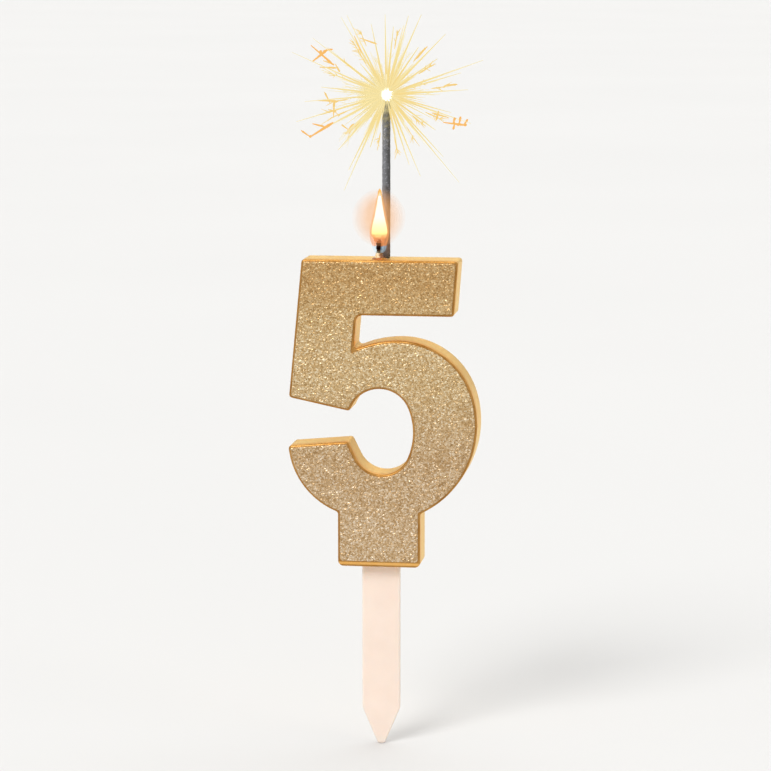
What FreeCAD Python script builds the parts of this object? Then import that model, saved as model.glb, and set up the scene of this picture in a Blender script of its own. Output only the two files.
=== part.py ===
# A figure-5 birthday candle: a cast wax numeral on a pedestal, with a glitter
# coat on its front face, a cotton wick and a mini sparkler in its top bar, and
# a flat plastic pick that carries it in a cake.
#
# Frame: origin at the centre of the pedestal's underside, at mid thickness.
# +Z up, +X to the reader's right, the glittered front faces -Y. Millimetres.
import FreeCAD, Part
import math
import os

import Sketcher

doc = FreeCAD.newDocument("number_candle")

# ---------------------------------------------------------------- dimensions
sheet = doc.addObject("Spreadsheet::Sheet", "Sizes")
DIMS = [
    # the numeral's outline in the X-Z plane
    ("fig_height", 75.0),          # underside of the pedestal to the top of the bar
    ("fig_thick", 10.0),           # wax and glitter coat together
    ("coat_thick", 0.4),
    ("coat_inset", 0.55),          # bare wax rim round the coat
    ("coat_foot_z", 0.85),         # the rim is wider below the pedestal's glitter
    ("bar_left_x", -18.83),
    ("bar_right_x", 19.2),
    ("bar_foot_x", 18.15),         # lower end of the bar's slanting right end
    ("bar_under_z", 61.55),
    ("stem_in_top_x", -5.45),
    ("stem_in_low_x", -6.2),
    ("stem_in_low_z", 53.14),
    ("bowl_peak_x", 4.87),
    ("bowl_top_rad", 26.1),
    ("bowl_shoulder_rad", 18.8),
    ("bowl_side_rad", 24.3),
    ("ped_half_w", 10.1),
    ("ped_right_z", 13.32),
    ("ped_left_z", 13.3),
    ("heel_rad", 18.7),
    ("term_left_x", -22.25),
    ("term_left_z", 29.43),
    ("term_right_x", -7.6),
    ("term_right_z", 30.75),
    ("counter_low_x", 0.6),
    ("counter_low_rad", 6.905),
    ("counter_side_x", -7.25),
    ("counter_side_z", 33.2),
    ("counter_side_rad", 15.5),
    ("counter_top_rad", 7.515),
    ("stem_foot_in_x", -7.1),
    ("stem_foot_in_z", 38.18),
    ("stem_foot_out_x", -22.05),
    ("stem_foot_out_z", 41.3),
    # roundings
    ("corner_rad", 0.8),
    ("inner_corner_rad", 1.5),
    ("ped_corner_rad", 1.35),
    ("rim_rad", 0.5),
    # wick
    ("wick_x", -0.33),
    ("wick_y", -1.2),
    ("wick_rad", 0.8),
    ("wick_foot_z", 63.5),
    ("wick_neck_z", 77.0),
    ("wick_tip_z", 80.0),
    ("wick_tip_rad", 0.5),
    ("sleeve_foot_rad", 1.25),
    ("sleeve_neck_rad", 0.92),
    ("sleeve_top_z", 76.8),
    ("pool_rad", 1.75),
    ("pool_depth", 0.35),
    # sparkler
    ("spark_x", 1.03),
    ("spark_y", 1.2),
    ("wire_rad", 0.5),
    ("wire_foot_z", 64.0),
    ("wire_top_z", 119.0),
    ("wire_clear", 0.05),
    ("coating_rad", 1.0),
    ("coating_foot_z", 75.45),
    ("coating_taper", 1.6),
    ("coating_top_z", 112.8),
    ("ember_rad", 1.7),
    ("ember_z", 114.3),
    # pick
    ("pick_width", 9.3),
    ("pick_thick", 1.6),
    ("pick_tang", 16.0),
    ("pick_shoulder", 36.0),       # depth at which the point starts
    ("pick_length", 45.0),         # below the pedestal
    ("pick_point_w", 1.6),
    ("pick_chamfer", 0.3),
    ("pick_clear", 0.05),
]
V = {}
for i, (name, value) in enumerate(DIMS, start=1):
    sheet.set("A%d" % i, name)
    sheet.set("B%d" % i, repr(value))
    sheet.setAlias("B%d" % i, name)
    V[name] = value
doc.recompute()


def vec(x, y, z=0.0):
    return FreeCAD.Vector(x, y, z)


def origin_plane(body, role):
    for feature in body.Origin.OriginFeatures:
        if feature.Role == role:
            return feature
    raise RuntimeError("no origin plane " + role)


def new_body(label):
    body = doc.addObject("PartDesign::Body", label)
    body.Label = label
    return body


def new_sketch(body, name, role, offset_expr=None):
    sk = body.newObject("Sketcher::SketchObject", name)
    sk.AttachmentSupport = [(origin_plane(body, role), "")]
    sk.MapMode = "FlatFace"
    if offset_expr:
        sk.setExpression("AttachmentOffset.Base.z", offset_expr)
    doc.recompute()
    return sk


def pin(sk, geo, pos, name, x=None, y=None):
    """Tie a point of the sketch to sheet cells, measured from the origin."""
    for axis, kind, expr in (("x", "DistanceX", x), ("y", "DistanceY", y)):
        if expr is None:
            continue
        value = value_of(expr)
        index = sk.addConstraint(Sketcher.Constraint(kind, -1, 1, geo, pos, value))
        label = "%s_%s" % (name, axis)
        sk.renameConstraint(index, label)
        sk.setExpression("Constraints." + label, expr)


def size(sk, kind, geo, name, expr):
    index = sk.addConstraint(Sketcher.Constraint(kind, geo, value_of(expr)))
    sk.renameConstraint(index, name)
    sk.setExpression("Constraints." + name, expr)


def value_of(expr):
    """The number that a short sum of sheet cells comes to."""
    total, sign = 0.0, 1.0
    for word in expr.replace("-", " - ").replace("+", " + ").split():
        if word == "-":
            sign = -1.0
        elif word == "+":
            sign = 1.0
        else:
            scale = 1.0
            if word.endswith("/2"):
                word, scale = word[:-2], 0.5
            number = V[word[6:]] if word.startswith("Sizes.") else float(word)
            total += sign * scale * number
            sign = 1.0
    return total


def arc(cx, cz, r, start, end):
    """A circular arc run anticlockwise from start to end."""
    a0 = math.atan2(start[1] - cz, start[0] - cx)
    a1 = math.atan2(end[1] - cz, end[0] - cx)
    while a1 < a0:
        a1 += 2 * math.pi
    circle = Part.Circle(vec(cx, cz), vec(0, 0, 1), r)
    return Part.ArcOfCircle(circle, a0, a1)


def towards(c, p, r):
    d = math.hypot(p[0] - c[0], p[1] - c[1])
    return (c[0] + (p[0] - c[0]) * r / d, c[1] + (p[1] - c[1]) * r / d)


def circle_meet(c1, r1, c2, r2, near):
    """The point where two circles cross, on the side of near."""
    d = math.hypot(c2[0] - c1[0], c2[1] - c1[1])
    a = (r1 * r1 - r2 * r2 + d * d) / (2 * d)
    k = math.sqrt(max(r1 * r1 - a * a, 0.0))
    ex, ey = (c2[0] - c1[0]) / d, (c2[1] - c1[1]) / d
    found = [(c1[0] + a * ex - s * k * ey, c1[1] + a * ey + s * k * ex) for s in (1, -1)]
    return min(found, key=lambda p: math.hypot(p[0] - near[0], p[1] - near[1]))


# ------------------------------------------------------- the figure's outline
def figure_outline(sk, foot="0"):
    """The outline of the 5 and its pedestal: seven arcs and eleven straights.

    The bowl is three arcs tangent to each other, the counter three more, and
    the heel one. Every free point hangs on sheet cells.
    """
    top = V["fig_height"]
    v0 = (V["bar_left_x"], top)
    v1 = (V["bar_right_x"], top)
    v2 = (V["bar_foot_x"], V["bar_under_z"])
    v3 = (V["stem_in_top_x"], V["bar_under_z"])
    v4 = (V["stem_in_low_x"], V["stem_in_low_z"])
    v6 = (V["ped_half_w"], V["ped_right_z"])
    v7 = (V["ped_half_w"], value_of(foot))
    v8 = (-V["ped_half_w"], value_of(foot))
    v9 = (-V["ped_half_w"], V["ped_left_z"])
    v10 = (V["term_left_x"], V["term_left_z"])
    v11 = (V["term_right_x"], V["term_right_z"])
    v12 = (V["stem_foot_in_x"], V["stem_foot_in_z"])
    v13 = (V["stem_foot_out_x"], V["stem_foot_out_z"])

    # bowl: top arc, shoulder arc, side arc
    px, r1, r2, r3 = V["bowl_peak_x"], V["bowl_top_rad"], V["bowl_shoulder_rad"], V["bowl_side_rad"]
    c1 = (px, v4[1] - math.sqrt(r1 ** 2 - (v4[0] - px) ** 2))
    peak = (px, c1[1] + r1)
    c2 = (px, peak[1] - r2)
    c3 = circle_meet(c2, r3 - r2, v6, r3, (c2[0] - 5, c2[1] - 1))
    shoulder = towards(c3, c2, r3)
    # heel arc
    mx, mz = (v9[0] + v10[0]) / 2, (v9[1] + v10[1]) / 2
    half = math.hypot(v9[0] - v10[0], v9[1] - v10[1]) / 2
    rise = math.sqrt(V["heel_rad"] ** 2 - half ** 2)
    dx, dz = (v9[0] - v10[0]) / (2 * half), (v9[1] - v10[1]) / (2 * half)
    c4 = (mx - rise * dz, mz + rise * dx)
    # counter: low arc, side arc, top arc
    rb, rs, rt = V["counter_low_rad"], V["counter_side_rad"], V["counter_top_rad"]
    c6 = (V["counter_side_x"], V["counter_side_z"])
    cbx = V["counter_low_x"]
    c5 = (cbx, c6[1] - math.sqrt((rs - rb) ** 2 - (cbx - c6[0]) ** 2))
    low = towards(c6, c5, rs)
    c7 = circle_meet(c6, rs - rt, v12, rt, (c6[0] + 7, c6[1] + 3))
    high = towards(c6, c7, rs)
    reach = math.hypot(v11[0] - c5[0], v11[1] - c5[1])
    turn = math.atan2(v11[1] - c5[1], v11[0] - c5[0]) + math.acos(rb / reach)
    q1 = (c5[0] + rb * math.cos(turn), c5[1] + rb * math.sin(turn))

    def line(a, b):
        return sk.addGeometry(Part.LineSegment(vec(*a), vec(*b)), False)

    def turn_arc(c, r, start, end):
        return sk.addGeometry(arc(c[0], c[1], r, start, end), False)

    g_top = line(v1, v0)
    g_end = line(v2, v1)
    g_under = line(v3, v2)
    g_in = line(v4, v3)
    g_b1 = turn_arc(c1, r1, peak, v4)
    g_b2 = turn_arc(c2, r2, shoulder, peak)
    g_b3 = turn_arc(c3, r3, v6, shoulder)
    g_pr = line(v7, v6)
    g_pb = line(v8, v7)
    g_pl = line(v9, v8)
    g_heel = turn_arc(c4, V["heel_rad"], v10, v9)
    g_term = line(v11, v10)
    g_lip = line(q1, v11)
    # the counter bounds the wax from inside, so its arcs run the other way round
    g_c5 = turn_arc(c5, rb, q1, low)
    g_c6 = turn_arc(c6, rs, low, high)
    g_c7 = turn_arc(c7, rt, high, v12)
    g_foot = line(v13, v12)
    g_stem = line(v0, v13)

    def join(g1, p1, g2, p2):
        sk.addConstraint(Sketcher.Constraint("Coincident", g1, p1, g2, p2))

    def smooth(g1, p1, g2, p2):
        sk.addConstraint(Sketcher.Constraint("Tangent", g1, p1, g2, p2))

    join(g_top, 2, g_stem, 1)
    join(g_top, 1, g_end, 2)
    join(g_end, 1, g_under, 2)
    join(g_under, 1, g_in, 2)
    join(g_in, 1, g_b1, 2)
    smooth(g_b1, 1, g_b2, 2)
    smooth(g_b2, 1, g_b3, 2)
    join(g_b3, 1, g_pr, 2)
    join(g_pr, 1, g_pb, 2)
    join(g_pb, 1, g_pl, 2)
    join(g_pl, 1, g_heel, 2)
    join(g_heel, 1, g_term, 2)
    join(g_term, 1, g_lip, 2)
    smooth(g_lip, 1, g_c5, 1)
    smooth(g_c5, 2, g_c6, 1)
    smooth(g_c6, 2, g_c7, 1)
    join(g_c7, 2, g_foot, 2)
    join(g_foot, 1, g_stem, 2)

    S = "Sizes."
    pin(sk, g_top, 2, "bar_left", S + "bar_left_x", S + "fig_height")
    pin(sk, g_top, 1, "bar_right", S + "bar_right_x", S + "fig_height")
    pin(sk, g_under, 2, "bar_foot", S + "bar_foot_x", S + "bar_under_z")
    pin(sk, g_under, 1, "stem_in_top", S + "stem_in_top_x", S + "bar_under_z")
    pin(sk, g_in, 1, "stem_in_low", S + "stem_in_low_x", S + "stem_in_low_z")
    pin(sk, g_b1, 3, "bowl_top_centre", x=S + "bowl_peak_x")
    pin(sk, g_b2, 3, "bowl_shoulder_centre", x=S + "bowl_peak_x")
    size(sk, "Radius", g_b1, "bowl_top_r", S + "bowl_top_rad")
    size(sk, "Radius", g_b2, "bowl_shoulder_r", S + "bowl_shoulder_rad")
    size(sk, "Radius", g_b3, "bowl_side_r", S + "bowl_side_rad")
    pin(sk, g_pr, 2, "ped_right", S + "ped_half_w", S + "ped_right_z")
    pin(sk, g_pr, 1, "ped_foot_right", S + "ped_half_w", foot)
    pin(sk, g_pl, 2, "ped_foot_left", "-" + S + "ped_half_w", foot)
    pin(sk, g_pl, 1, "ped_left", "-" + S + "ped_half_w", S + "ped_left_z")
    size(sk, "Radius", g_heel, "heel_r", S + "heel_rad")
    pin(sk, g_term, 2, "term_left", S + "term_left_x", S + "term_left_z")
    pin(sk, g_term, 1, "term_right", S + "term_right_x", S + "term_right_z")
    size(sk, "Radius", g_c5, "counter_low_r", S + "counter_low_rad")
    size(sk, "Radius", g_c6, "counter_side_r", S + "counter_side_rad")
    size(sk, "Radius", g_c7, "counter_top_r", S + "counter_top_rad")
    pin(sk, g_c5, 3, "counter_low_centre", x=S + "counter_low_x")
    pin(sk, g_c6, 3, "counter_side_centre", S + "counter_side_x", S + "counter_side_z")
    pin(sk, g_foot, 2, "stem_foot_in", S + "stem_foot_in_x", S + "stem_foot_in_z")
    pin(sk, g_foot, 1, "stem_foot_out", S + "stem_foot_out_x", S + "stem_foot_out_z")

    # corners to round later: the position of each edge and its radius
    c, i, p = "corner_rad", "inner_corner_rad", "ped_corner_rad"
    return {
        c: [v0, v1, v2, v4, v6, v9, v10, v11, v12, v13],
        i: [v3],
        p: [v7, v8],
    }


def across_edges(shape, spots, inset_tol=0.9):
    """Names of the shape's edges that run through the thickness near spots."""
    names = []
    for spot in spots:
        best, best_d = None, inset_tol
        for n, edge in enumerate(shape.Edges, start=1):
            if len(edge.Vertexes) != 2 or edge.Curve.TypeId != "Part::GeomLine":
                continue
            a, b = edge.Vertexes[0].Point, edge.Vertexes[1].Point
            if abs(a.x - b.x) > 1e-6 or abs(a.z - b.z) > 1e-6:
                continue
            d = math.hypot(a.x - spot[0], a.z - spot[1])
            if d < best_d:
                best, best_d = n, d
        if best is None:
            raise RuntimeError("no edge near %r" % (spot,))
        names.append("Edge%d" % best)
    return names


def flat_faces(shape, normal_y, at_y):
    names = []
    for n, face in enumerate(shape.Faces, start=1):
        if face.Surface.TypeId != "Part::GeomPlane":
            continue
        if abs(face.CenterOfMass.y - at_y) < 1e-4 and abs(abs(face.normalAt(0, 0).y) - 1) < 1e-6:
            names.append("Face%d" % n)
    return names


# ------------------------------------------------------------- wax_numeral
# Cast wax, 9.6 mm thick. The coat lies on its front, so the wax runs from
# y = -4.6 to y = +5.0.
numeral = new_body("wax_numeral")
outline = new_sketch(numeral, "numeral_outline", "XZ_Plane", "-Sizes.fig_thick / 2")
corners = figure_outline(outline)
doc.recompute()
if not outline.FullyConstrained:
    raise RuntimeError("the outline has free degrees")
pad = numeral.newObject("PartDesign::Pad", "numeral_pad")
pad.Profile = outline
pad.setExpression("Length", "Sizes.fig_thick - Sizes.coat_thick")
doc.recompute()
base = pad
for cell, spots in corners.items():
    fillet = numeral.newObject("PartDesign::Fillet", "round_" + cell)
    fillet.Base = (base, across_edges(base.Shape, spots))
    fillet.setExpression("Radius", "Sizes." + cell)
    doc.recompute()
    base = fillet
front_y = -(V["fig_thick"] / 2 - V["coat_thick"])
back_y = V["fig_thick"] / 2
rim = numeral.newObject("PartDesign::Fillet", "rim")
rim.Base = (base, flat_faces(base.Shape, -1, front_y) + flat_faces(base.Shape, 1, back_y))
rim.setExpression("Radius", "Sizes.rim_rad")
doc.recompute()


def pocket_round(body, name, x, y, z_expr, radius_expr, depth_expr):
    sk = new_sketch(body, name + "_sketch", "XY_Plane", z_expr)
    g = sk.addGeometry(Part.Circle(vec(value_of(x), value_of(y)), vec(0, 0, 1), value_of(radius_expr)), False)
    pin(sk, g, 3, "centre", x, y)
    size(sk, "Radius", g, "radius", radius_expr)
    doc.recompute()
    before = body.Shape.Volume
    cut = body.newObject("PartDesign::Pocket", name)
    cut.Profile = sk
    cut.setExpression("Length", depth_expr)
    doc.recompute()
    removed = before - body.Shape.Volume
    expected = math.pi * value_of(radius_expr) ** 2 * value_of(depth_expr)
    if abs(removed - expected) > 0.02 * expected:
        raise RuntimeError("%s removed %.3f, expected %.3f" % (name, removed, expected))
    return cut


# the wick is cast in, blind, within the depth of the top bar
pocket_round(numeral, "wick_bore", "Sizes.wick_x", "Sizes.wick_y", "Sizes.fig_height",
             "Sizes.wick_rad", "Sizes.fig_height-Sizes.wick_foot_z")
# the sparkler's bare wire stands in a blind hole behind the wick
pocket_round(numeral, "wire_bore", "Sizes.spark_x", "Sizes.spark_y", "Sizes.fig_height",
             "Sizes.wire_rad+Sizes.wire_clear",
             "Sizes.fig_height-Sizes.wire_foot_z+Sizes.wire_clear")

# the slot that takes the pick's tang
slot = new_sketch(numeral, "tang_slot_sketch", "XY_Plane")
hw = V["pick_width"] / 2 + V["pick_clear"]
ht = V["pick_thick"] / 2 + V["pick_clear"]
box = [(-hw, -ht), (hw, -ht), (hw, ht), (-hw, ht)]
lines = [slot.addGeometry(Part.LineSegment(vec(*box[k]), vec(*box[(k + 1) % 4])), False) for k in range(4)]
for k in range(4):
    slot.addConstraint(Sketcher.Constraint("Coincident", lines[k], 2, lines[(k + 1) % 4], 1))
for k in (0, 2):
    slot.addConstraint(Sketcher.Constraint("Horizontal", lines[k]))
for k in (1, 3):
    slot.addConstraint(Sketcher.Constraint("Vertical", lines[k]))
pin(slot, lines[0], 1, "low", "-Sizes.pick_width/2-Sizes.pick_clear", "-Sizes.pick_thick/2-Sizes.pick_clear")
pin(slot, lines[2], 1, "high", "Sizes.pick_width/2+Sizes.pick_clear", "Sizes.pick_thick/2+Sizes.pick_clear")
doc.recompute()
before = numeral.Shape.Volume
cut = numeral.newObject("PartDesign::Pocket", "tang_slot")
cut.Profile = slot
cut.Reversed = True
cut.setExpression("Length", "Sizes.pick_tang + Sizes.pick_clear")
doc.recompute()
removed = before - numeral.Shape.Volume
expected = 4 * hw * ht * (V["pick_tang"] + V["pick_clear"])
if abs(removed - expected) > 0.02 * expected:
    raise RuntimeError("tang_slot removed %.3f, expected %.3f" % (removed, expected))

# ------------------------------------------------------ front_glitter_coat
# A thin plate of glitter in lacquer on the front face, set in from the rim.
coat_outline = doc.addObject("Sketcher::SketchObject", "coat_outline")
coat_outline.Placement = FreeCAD.Placement(vec(0, front_y, 0), FreeCAD.Rotation(vec(1, 0, 0), 90))
coat_outline.setExpression("Placement.Base.y", "-(Sizes.fig_thick / 2 - Sizes.coat_thick)")
coat_corners = figure_outline(coat_outline, "Sizes.coat_foot_z")
doc.recompute()
coat_inset = doc.addObject("Part::Offset2D", "coat_inset")
coat_inset.Source = coat_outline
coat_inset.setExpression("Value", "-Sizes.coat_inset")
coat_inset.Join = "Intersection"
doc.recompute()
coat_plate = doc.addObject("Part::Extrusion", "coat_plate")
coat_plate.Base = coat_inset
coat_plate.DirMode = "Custom"
coat_plate.Dir = vec(0, -1, 0)
coat_plate.Solid = True
coat_plate.setExpression("LengthFwd", "Sizes.coat_thick")
doc.recompute()
coat = doc.addObject("Part::Fillet", "front_glitter_coat")
coat.Base = coat_plate
picked = []
for cell, spots in coat_corners.items():
    for edge_name in across_edges(coat_plate.Shape, spots, 2.2):
        r = V[cell] - V["coat_inset"] if cell != "inner_corner_rad" else V[cell] + V["coat_inset"]
        r = max(r, 0.3)
        picked.append((int(edge_name[4:]), r, r))
coat.Edges = picked
coat.Label = "front_glitter_coat"
doc.recompute()


# ---------------------------------------------------------- turned pieces
def turned(label, x, y, profile):
    """A body made by turning a half section about the upright axis at x, y.

    profile is a list of (r_expr, z_expr) corners in order.
    """
    body = new_body(label)
    sk = new_sketch(body, label + "_section", "XZ_Plane")
    pts = [(value_of(r), value_of(z)) for r, z in profile]
    n = len(pts)
    g = [sk.addGeometry(Part.LineSegment(vec(*pts[k]), vec(*pts[(k + 1) % n])), False) for k in range(n)]
    for k in range(n):
        sk.addConstraint(Sketcher.Constraint("Coincident", g[k], 2, g[(k + 1) % n], 1))
    for k, (r, z) in enumerate(profile):
        pin(sk, g[k], 1, "p%d" % k, r, z)
    doc.recompute()
    rev = body.newObject("PartDesign::Revolution", label + "_turn")
    rev.Profile = sk
    rev.ReferenceAxis = (sk, ["V_Axis"])
    rev.Angle = 360.0
    doc.recompute()
    body.setExpression("Placement.Base.x", x)
    body.setExpression("Placement.Base.y", y)
    doc.recompute()
    return body


WX, WY = "Sizes.wick_x", "Sizes.wick_y"
SX, SY = "Sizes.spark_x", "Sizes.spark_y"
turned("wick_braid", WX, WY, [
    ("0", "Sizes.wick_foot_z"), ("Sizes.wick_rad", "Sizes.wick_foot_z"),
    ("Sizes.wick_rad", "Sizes.wick_neck_z"), ("0", "Sizes.wick_neck_z")])
turned("wick_char", WX, WY, [
    ("0", "Sizes.wick_neck_z"), ("Sizes.wick_rad", "Sizes.wick_neck_z"),
    ("Sizes.wick_rad", "Sizes.wick_neck_z+1.4"),
    ("Sizes.wick_tip_rad", "Sizes.wick_tip_z"), ("0", "Sizes.wick_tip_z")])
turned("melt_pool", WX, WY, [
    ("Sizes.wick_rad", "Sizes.fig_height"), ("Sizes.pool_rad", "Sizes.fig_height"),
    ("Sizes.pool_rad-0.12", "Sizes.fig_height+Sizes.pool_depth/2"),
    ("Sizes.pool_rad-0.4", "Sizes.fig_height+Sizes.pool_depth"),
    ("Sizes.wick_rad", "Sizes.fig_height+Sizes.pool_depth")])
turned("wick_wax_sleeve", WX, WY, [
    ("Sizes.wick_rad", "Sizes.fig_height+Sizes.pool_depth"),
    ("Sizes.sleeve_foot_rad", "Sizes.fig_height+Sizes.pool_depth"),
    ("Sizes.sleeve_neck_rad", "Sizes.sleeve_top_z"),
    ("Sizes.wick_rad", "Sizes.sleeve_top_z")])
turned("sparkler_wire", SX, SY, [
    ("0", "Sizes.wire_foot_z"), ("Sizes.wire_rad", "Sizes.wire_foot_z"),
    ("Sizes.wire_rad", "Sizes.wire_top_z-0.5"),
    ("Sizes.wire_rad-0.3", "Sizes.wire_top_z"), ("0", "Sizes.wire_top_z")])
turned("sparkler_composition", SX, SY, [
    ("Sizes.wire_rad", "Sizes.coating_foot_z"),
    ("Sizes.wire_rad+0.15", "Sizes.coating_foot_z"),
    ("Sizes.coating_rad", "Sizes.coating_foot_z+Sizes.coating_taper"),
    ("Sizes.coating_rad", "Sizes.coating_top_z"),
    ("Sizes.wire_rad", "Sizes.coating_top_z")])

# the burning bead: a turned ball on the wire, seated on the coat's end
ember = new_body("sparkler_ember")
sk = new_sketch(ember, "ember_section", "XZ_Plane")
re_, ze, rw, zt = V["ember_rad"], V["ember_z"], V["wire_rad"], V["coating_top_z"]
foot = (math.sqrt(re_ ** 2 - (ze - zt) ** 2), zt)
crown = (rw, ze + math.sqrt(re_ ** 2 - rw ** 2))
g0 = sk.addGeometry(Part.LineSegment(vec(rw, zt), vec(*foot)), False)
g1 = sk.addGeometry(arc(0.0, ze, re_, foot, crown), False)
g2 = sk.addGeometry(Part.LineSegment(vec(*crown), vec(rw, zt)), False)
sk.addConstraint(Sketcher.Constraint("Coincident", g0, 2, g1, 1))
sk.addConstraint(Sketcher.Constraint("Coincident", g1, 2, g2, 1))
sk.addConstraint(Sketcher.Constraint("Coincident", g2, 2, g0, 1))
sk.addConstraint(Sketcher.Constraint("Horizontal", g0))
sk.addConstraint(Sketcher.Constraint("Vertical", g2))
pin(sk, g0, 1, "seat", "Sizes.wire_rad", "Sizes.coating_top_z")
sk.addConstraint(Sketcher.Constraint("PointOnObject", g1, 3, -2))
pin(sk, g1, 3, "centre", y="Sizes.ember_z")
size(sk, "Radius", g1, "ball", "Sizes.ember_rad")
doc.recompute()
rev = ember.newObject("PartDesign::Revolution", "ember_turn")
rev.Profile = sk
rev.ReferenceAxis = (sk, ["V_Axis"])
rev.Angle = 360.0
ember.setExpression("Placement.Base.x", SX)
ember.setExpression("Placement.Base.y", SY)
doc.recompute()

# -------------------------------------------------------------------- pick
# A flat stake with a plain tang above the pedestal's underside and a point.
pick = new_body("pick")
sk = new_sketch(pick, "pick_outline", "XZ_Plane", "-Sizes.pick_thick / 2")
W, PW = "Sizes.pick_width/2", "Sizes.pick_point_w/2"
profile = [
    ("-" + PW, "-Sizes.pick_length"), (PW, "-Sizes.pick_length"),
    (W, "-Sizes.pick_shoulder"), (W, "Sizes.pick_tang-1"),
    (W + "-1", "Sizes.pick_tang"), ("-" + W + "+1", "Sizes.pick_tang"),
    ("-" + W, "Sizes.pick_tang-1"), ("-" + W, "-Sizes.pick_shoulder")]
pts = [(value_of(x), value_of(z)) for x, z in profile]
n = len(pts)
g = [sk.addGeometry(Part.LineSegment(vec(*pts[k]), vec(*pts[(k + 1) % n])), False) for k in range(n)]
for k in range(n):
    sk.addConstraint(Sketcher.Constraint("Coincident", g[k], 2, g[(k + 1) % n], 1))
for k, (x, z) in enumerate(profile):
    pin(sk, g[k], 1, "p%d" % k, x, z)
doc.recompute()
pad = pick.newObject("PartDesign::Pad", "pick_pad")
pad.Profile = sk
pad.setExpression("Length", "Sizes.pick_thick")
doc.recompute()
soft = pick.newObject("PartDesign::Fillet", "pick_shoulders")
soft.Base = (pad, across_edges(pad.Shape, [pts[2], pts[7], pts[0], pts[1]]))
soft.Radius = 0.7
doc.recompute()
edges = pick.newObject("PartDesign::Chamfer", "pick_edges")
t2 = V["pick_thick"] / 2
edges.Base = (soft, flat_faces(soft.Shape, -1, -t2) + flat_faces(soft.Shape, 1, t2))
edges.setExpression("Size", "Sizes.pick_chamfer")
doc.recompute()

# ------------------------------------------------------------------ output
NODES = ["wax_numeral", "front_glitter_coat", "wick_braid", "wick_char",
         "wick_wax_sleeve", "melt_pool", "sparkler_wire",
         "sparkler_composition", "sparkler_ember", "pick"]
doc.recompute()
for obj in doc.Objects:
    for state in ("Invalid", "Error"):
        if state in obj.State:
            raise RuntimeError("%s is %s" % (obj.Label, state))
by_label = {obj.Label: obj for obj in doc.Objects}
os.makedirs("parts", exist_ok=True)
for name in NODES:
    shape = by_label[name].Shape
    if shape.isNull() or not shape.isValid() or len(shape.Solids) != 1:
        raise RuntimeError("%s has no valid solid" % name)
    b = shape.BoundBox
    print("%-22s vol %9.3f  x %.2f..%.2f  y %.2f..%.2f  z %.2f..%.2f" % (
        name, shape.Volume, b.XMin, b.XMax, b.YMin, b.YMax, b.ZMin, b.ZMax))
    shape.exportStep("parts/%s.step" % name)
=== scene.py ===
# The looks of a figure-5 birthday candle: satin gold wax, a glitter front, a
# burning cotton wick, a mini sparkler throwing sparks and a milky plastic pick.
# Metres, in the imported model's own frame. MM turns millimetres into metres.
import bpy
import math
import random

import numpy as np
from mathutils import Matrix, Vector, noise
from mathutils.geometry import delaunay_2d_cdt
from mathutils.kdtree import KDTree


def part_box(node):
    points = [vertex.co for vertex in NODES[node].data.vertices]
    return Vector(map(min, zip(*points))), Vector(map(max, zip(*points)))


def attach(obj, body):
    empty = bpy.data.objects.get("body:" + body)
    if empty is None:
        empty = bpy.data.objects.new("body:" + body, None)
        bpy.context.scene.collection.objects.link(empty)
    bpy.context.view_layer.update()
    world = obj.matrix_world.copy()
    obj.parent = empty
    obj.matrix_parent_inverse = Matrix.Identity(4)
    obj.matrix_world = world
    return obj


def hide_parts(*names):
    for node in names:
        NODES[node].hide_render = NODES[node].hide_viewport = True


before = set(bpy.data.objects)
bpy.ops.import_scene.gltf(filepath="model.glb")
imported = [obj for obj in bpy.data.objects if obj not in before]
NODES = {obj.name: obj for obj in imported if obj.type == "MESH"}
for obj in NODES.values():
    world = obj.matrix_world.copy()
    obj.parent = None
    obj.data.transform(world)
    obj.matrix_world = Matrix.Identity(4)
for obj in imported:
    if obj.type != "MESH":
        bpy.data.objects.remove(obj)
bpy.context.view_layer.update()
MM = 0.001


# ------------------------------------------------------------------ helpers
def rgb(r, g, b, a=1.0):
    """Display colour, 0 to 255, as the linear colour a shader takes."""
    out = []
    for c in (r, g, b):
        c = c / 255.0
        out.append(c / 12.92 if c <= 0.04045 else ((c + 0.055) / 1.055) ** 2.4)
    return (out[0], out[1], out[2], a)


def mesh_object(name, verts, faces, smooth=True):
    me = bpy.data.meshes.new(name)
    me.from_pydata([tuple(v) for v in verts], [], [tuple(f) for f in faces])
    me.validate()
    me.update()
    if smooth:
        me.polygons.foreach_set("use_smooth", [True] * len(me.polygons))
    ob = bpy.data.objects.new(name, me)
    bpy.context.scene.collection.objects.link(ob)
    return ob


class Builder:
    """Collects closed shells into one mesh."""

    def __init__(self):
        self.v = []
        self.f = []

    def add(self, verts, faces):
        k = len(self.v)
        self.v.extend([tuple(p) for p in verts])
        self.f.extend([tuple(i + k for i in f) for f in faces])

    def make(self, name, smooth=True):
        return mesh_object(name, self.v, self.f, smooth)


def outward(ob):
    """Turns every face outward."""
    import bmesh
    bm = bmesh.new()
    bm.from_mesh(ob.data)
    bmesh.ops.recalc_face_normals(bm, faces=bm.faces)
    bm.to_mesh(ob.data)
    bm.free()
    ob.data.update()
    return ob


def sharp_by_angle(ob, degrees):
    """Marks the edges that turn by more than an angle as sharp."""
    import bmesh
    bm = bmesh.new()
    bm.from_mesh(ob.data)
    limit = math.radians(degrees)
    for e in bm.edges:
        e.smooth = not (len(e.link_faces) == 2 and e.calc_face_angle(0.0) > limit)
    bm.to_mesh(ob.data)
    bm.free()
    return ob


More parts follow.
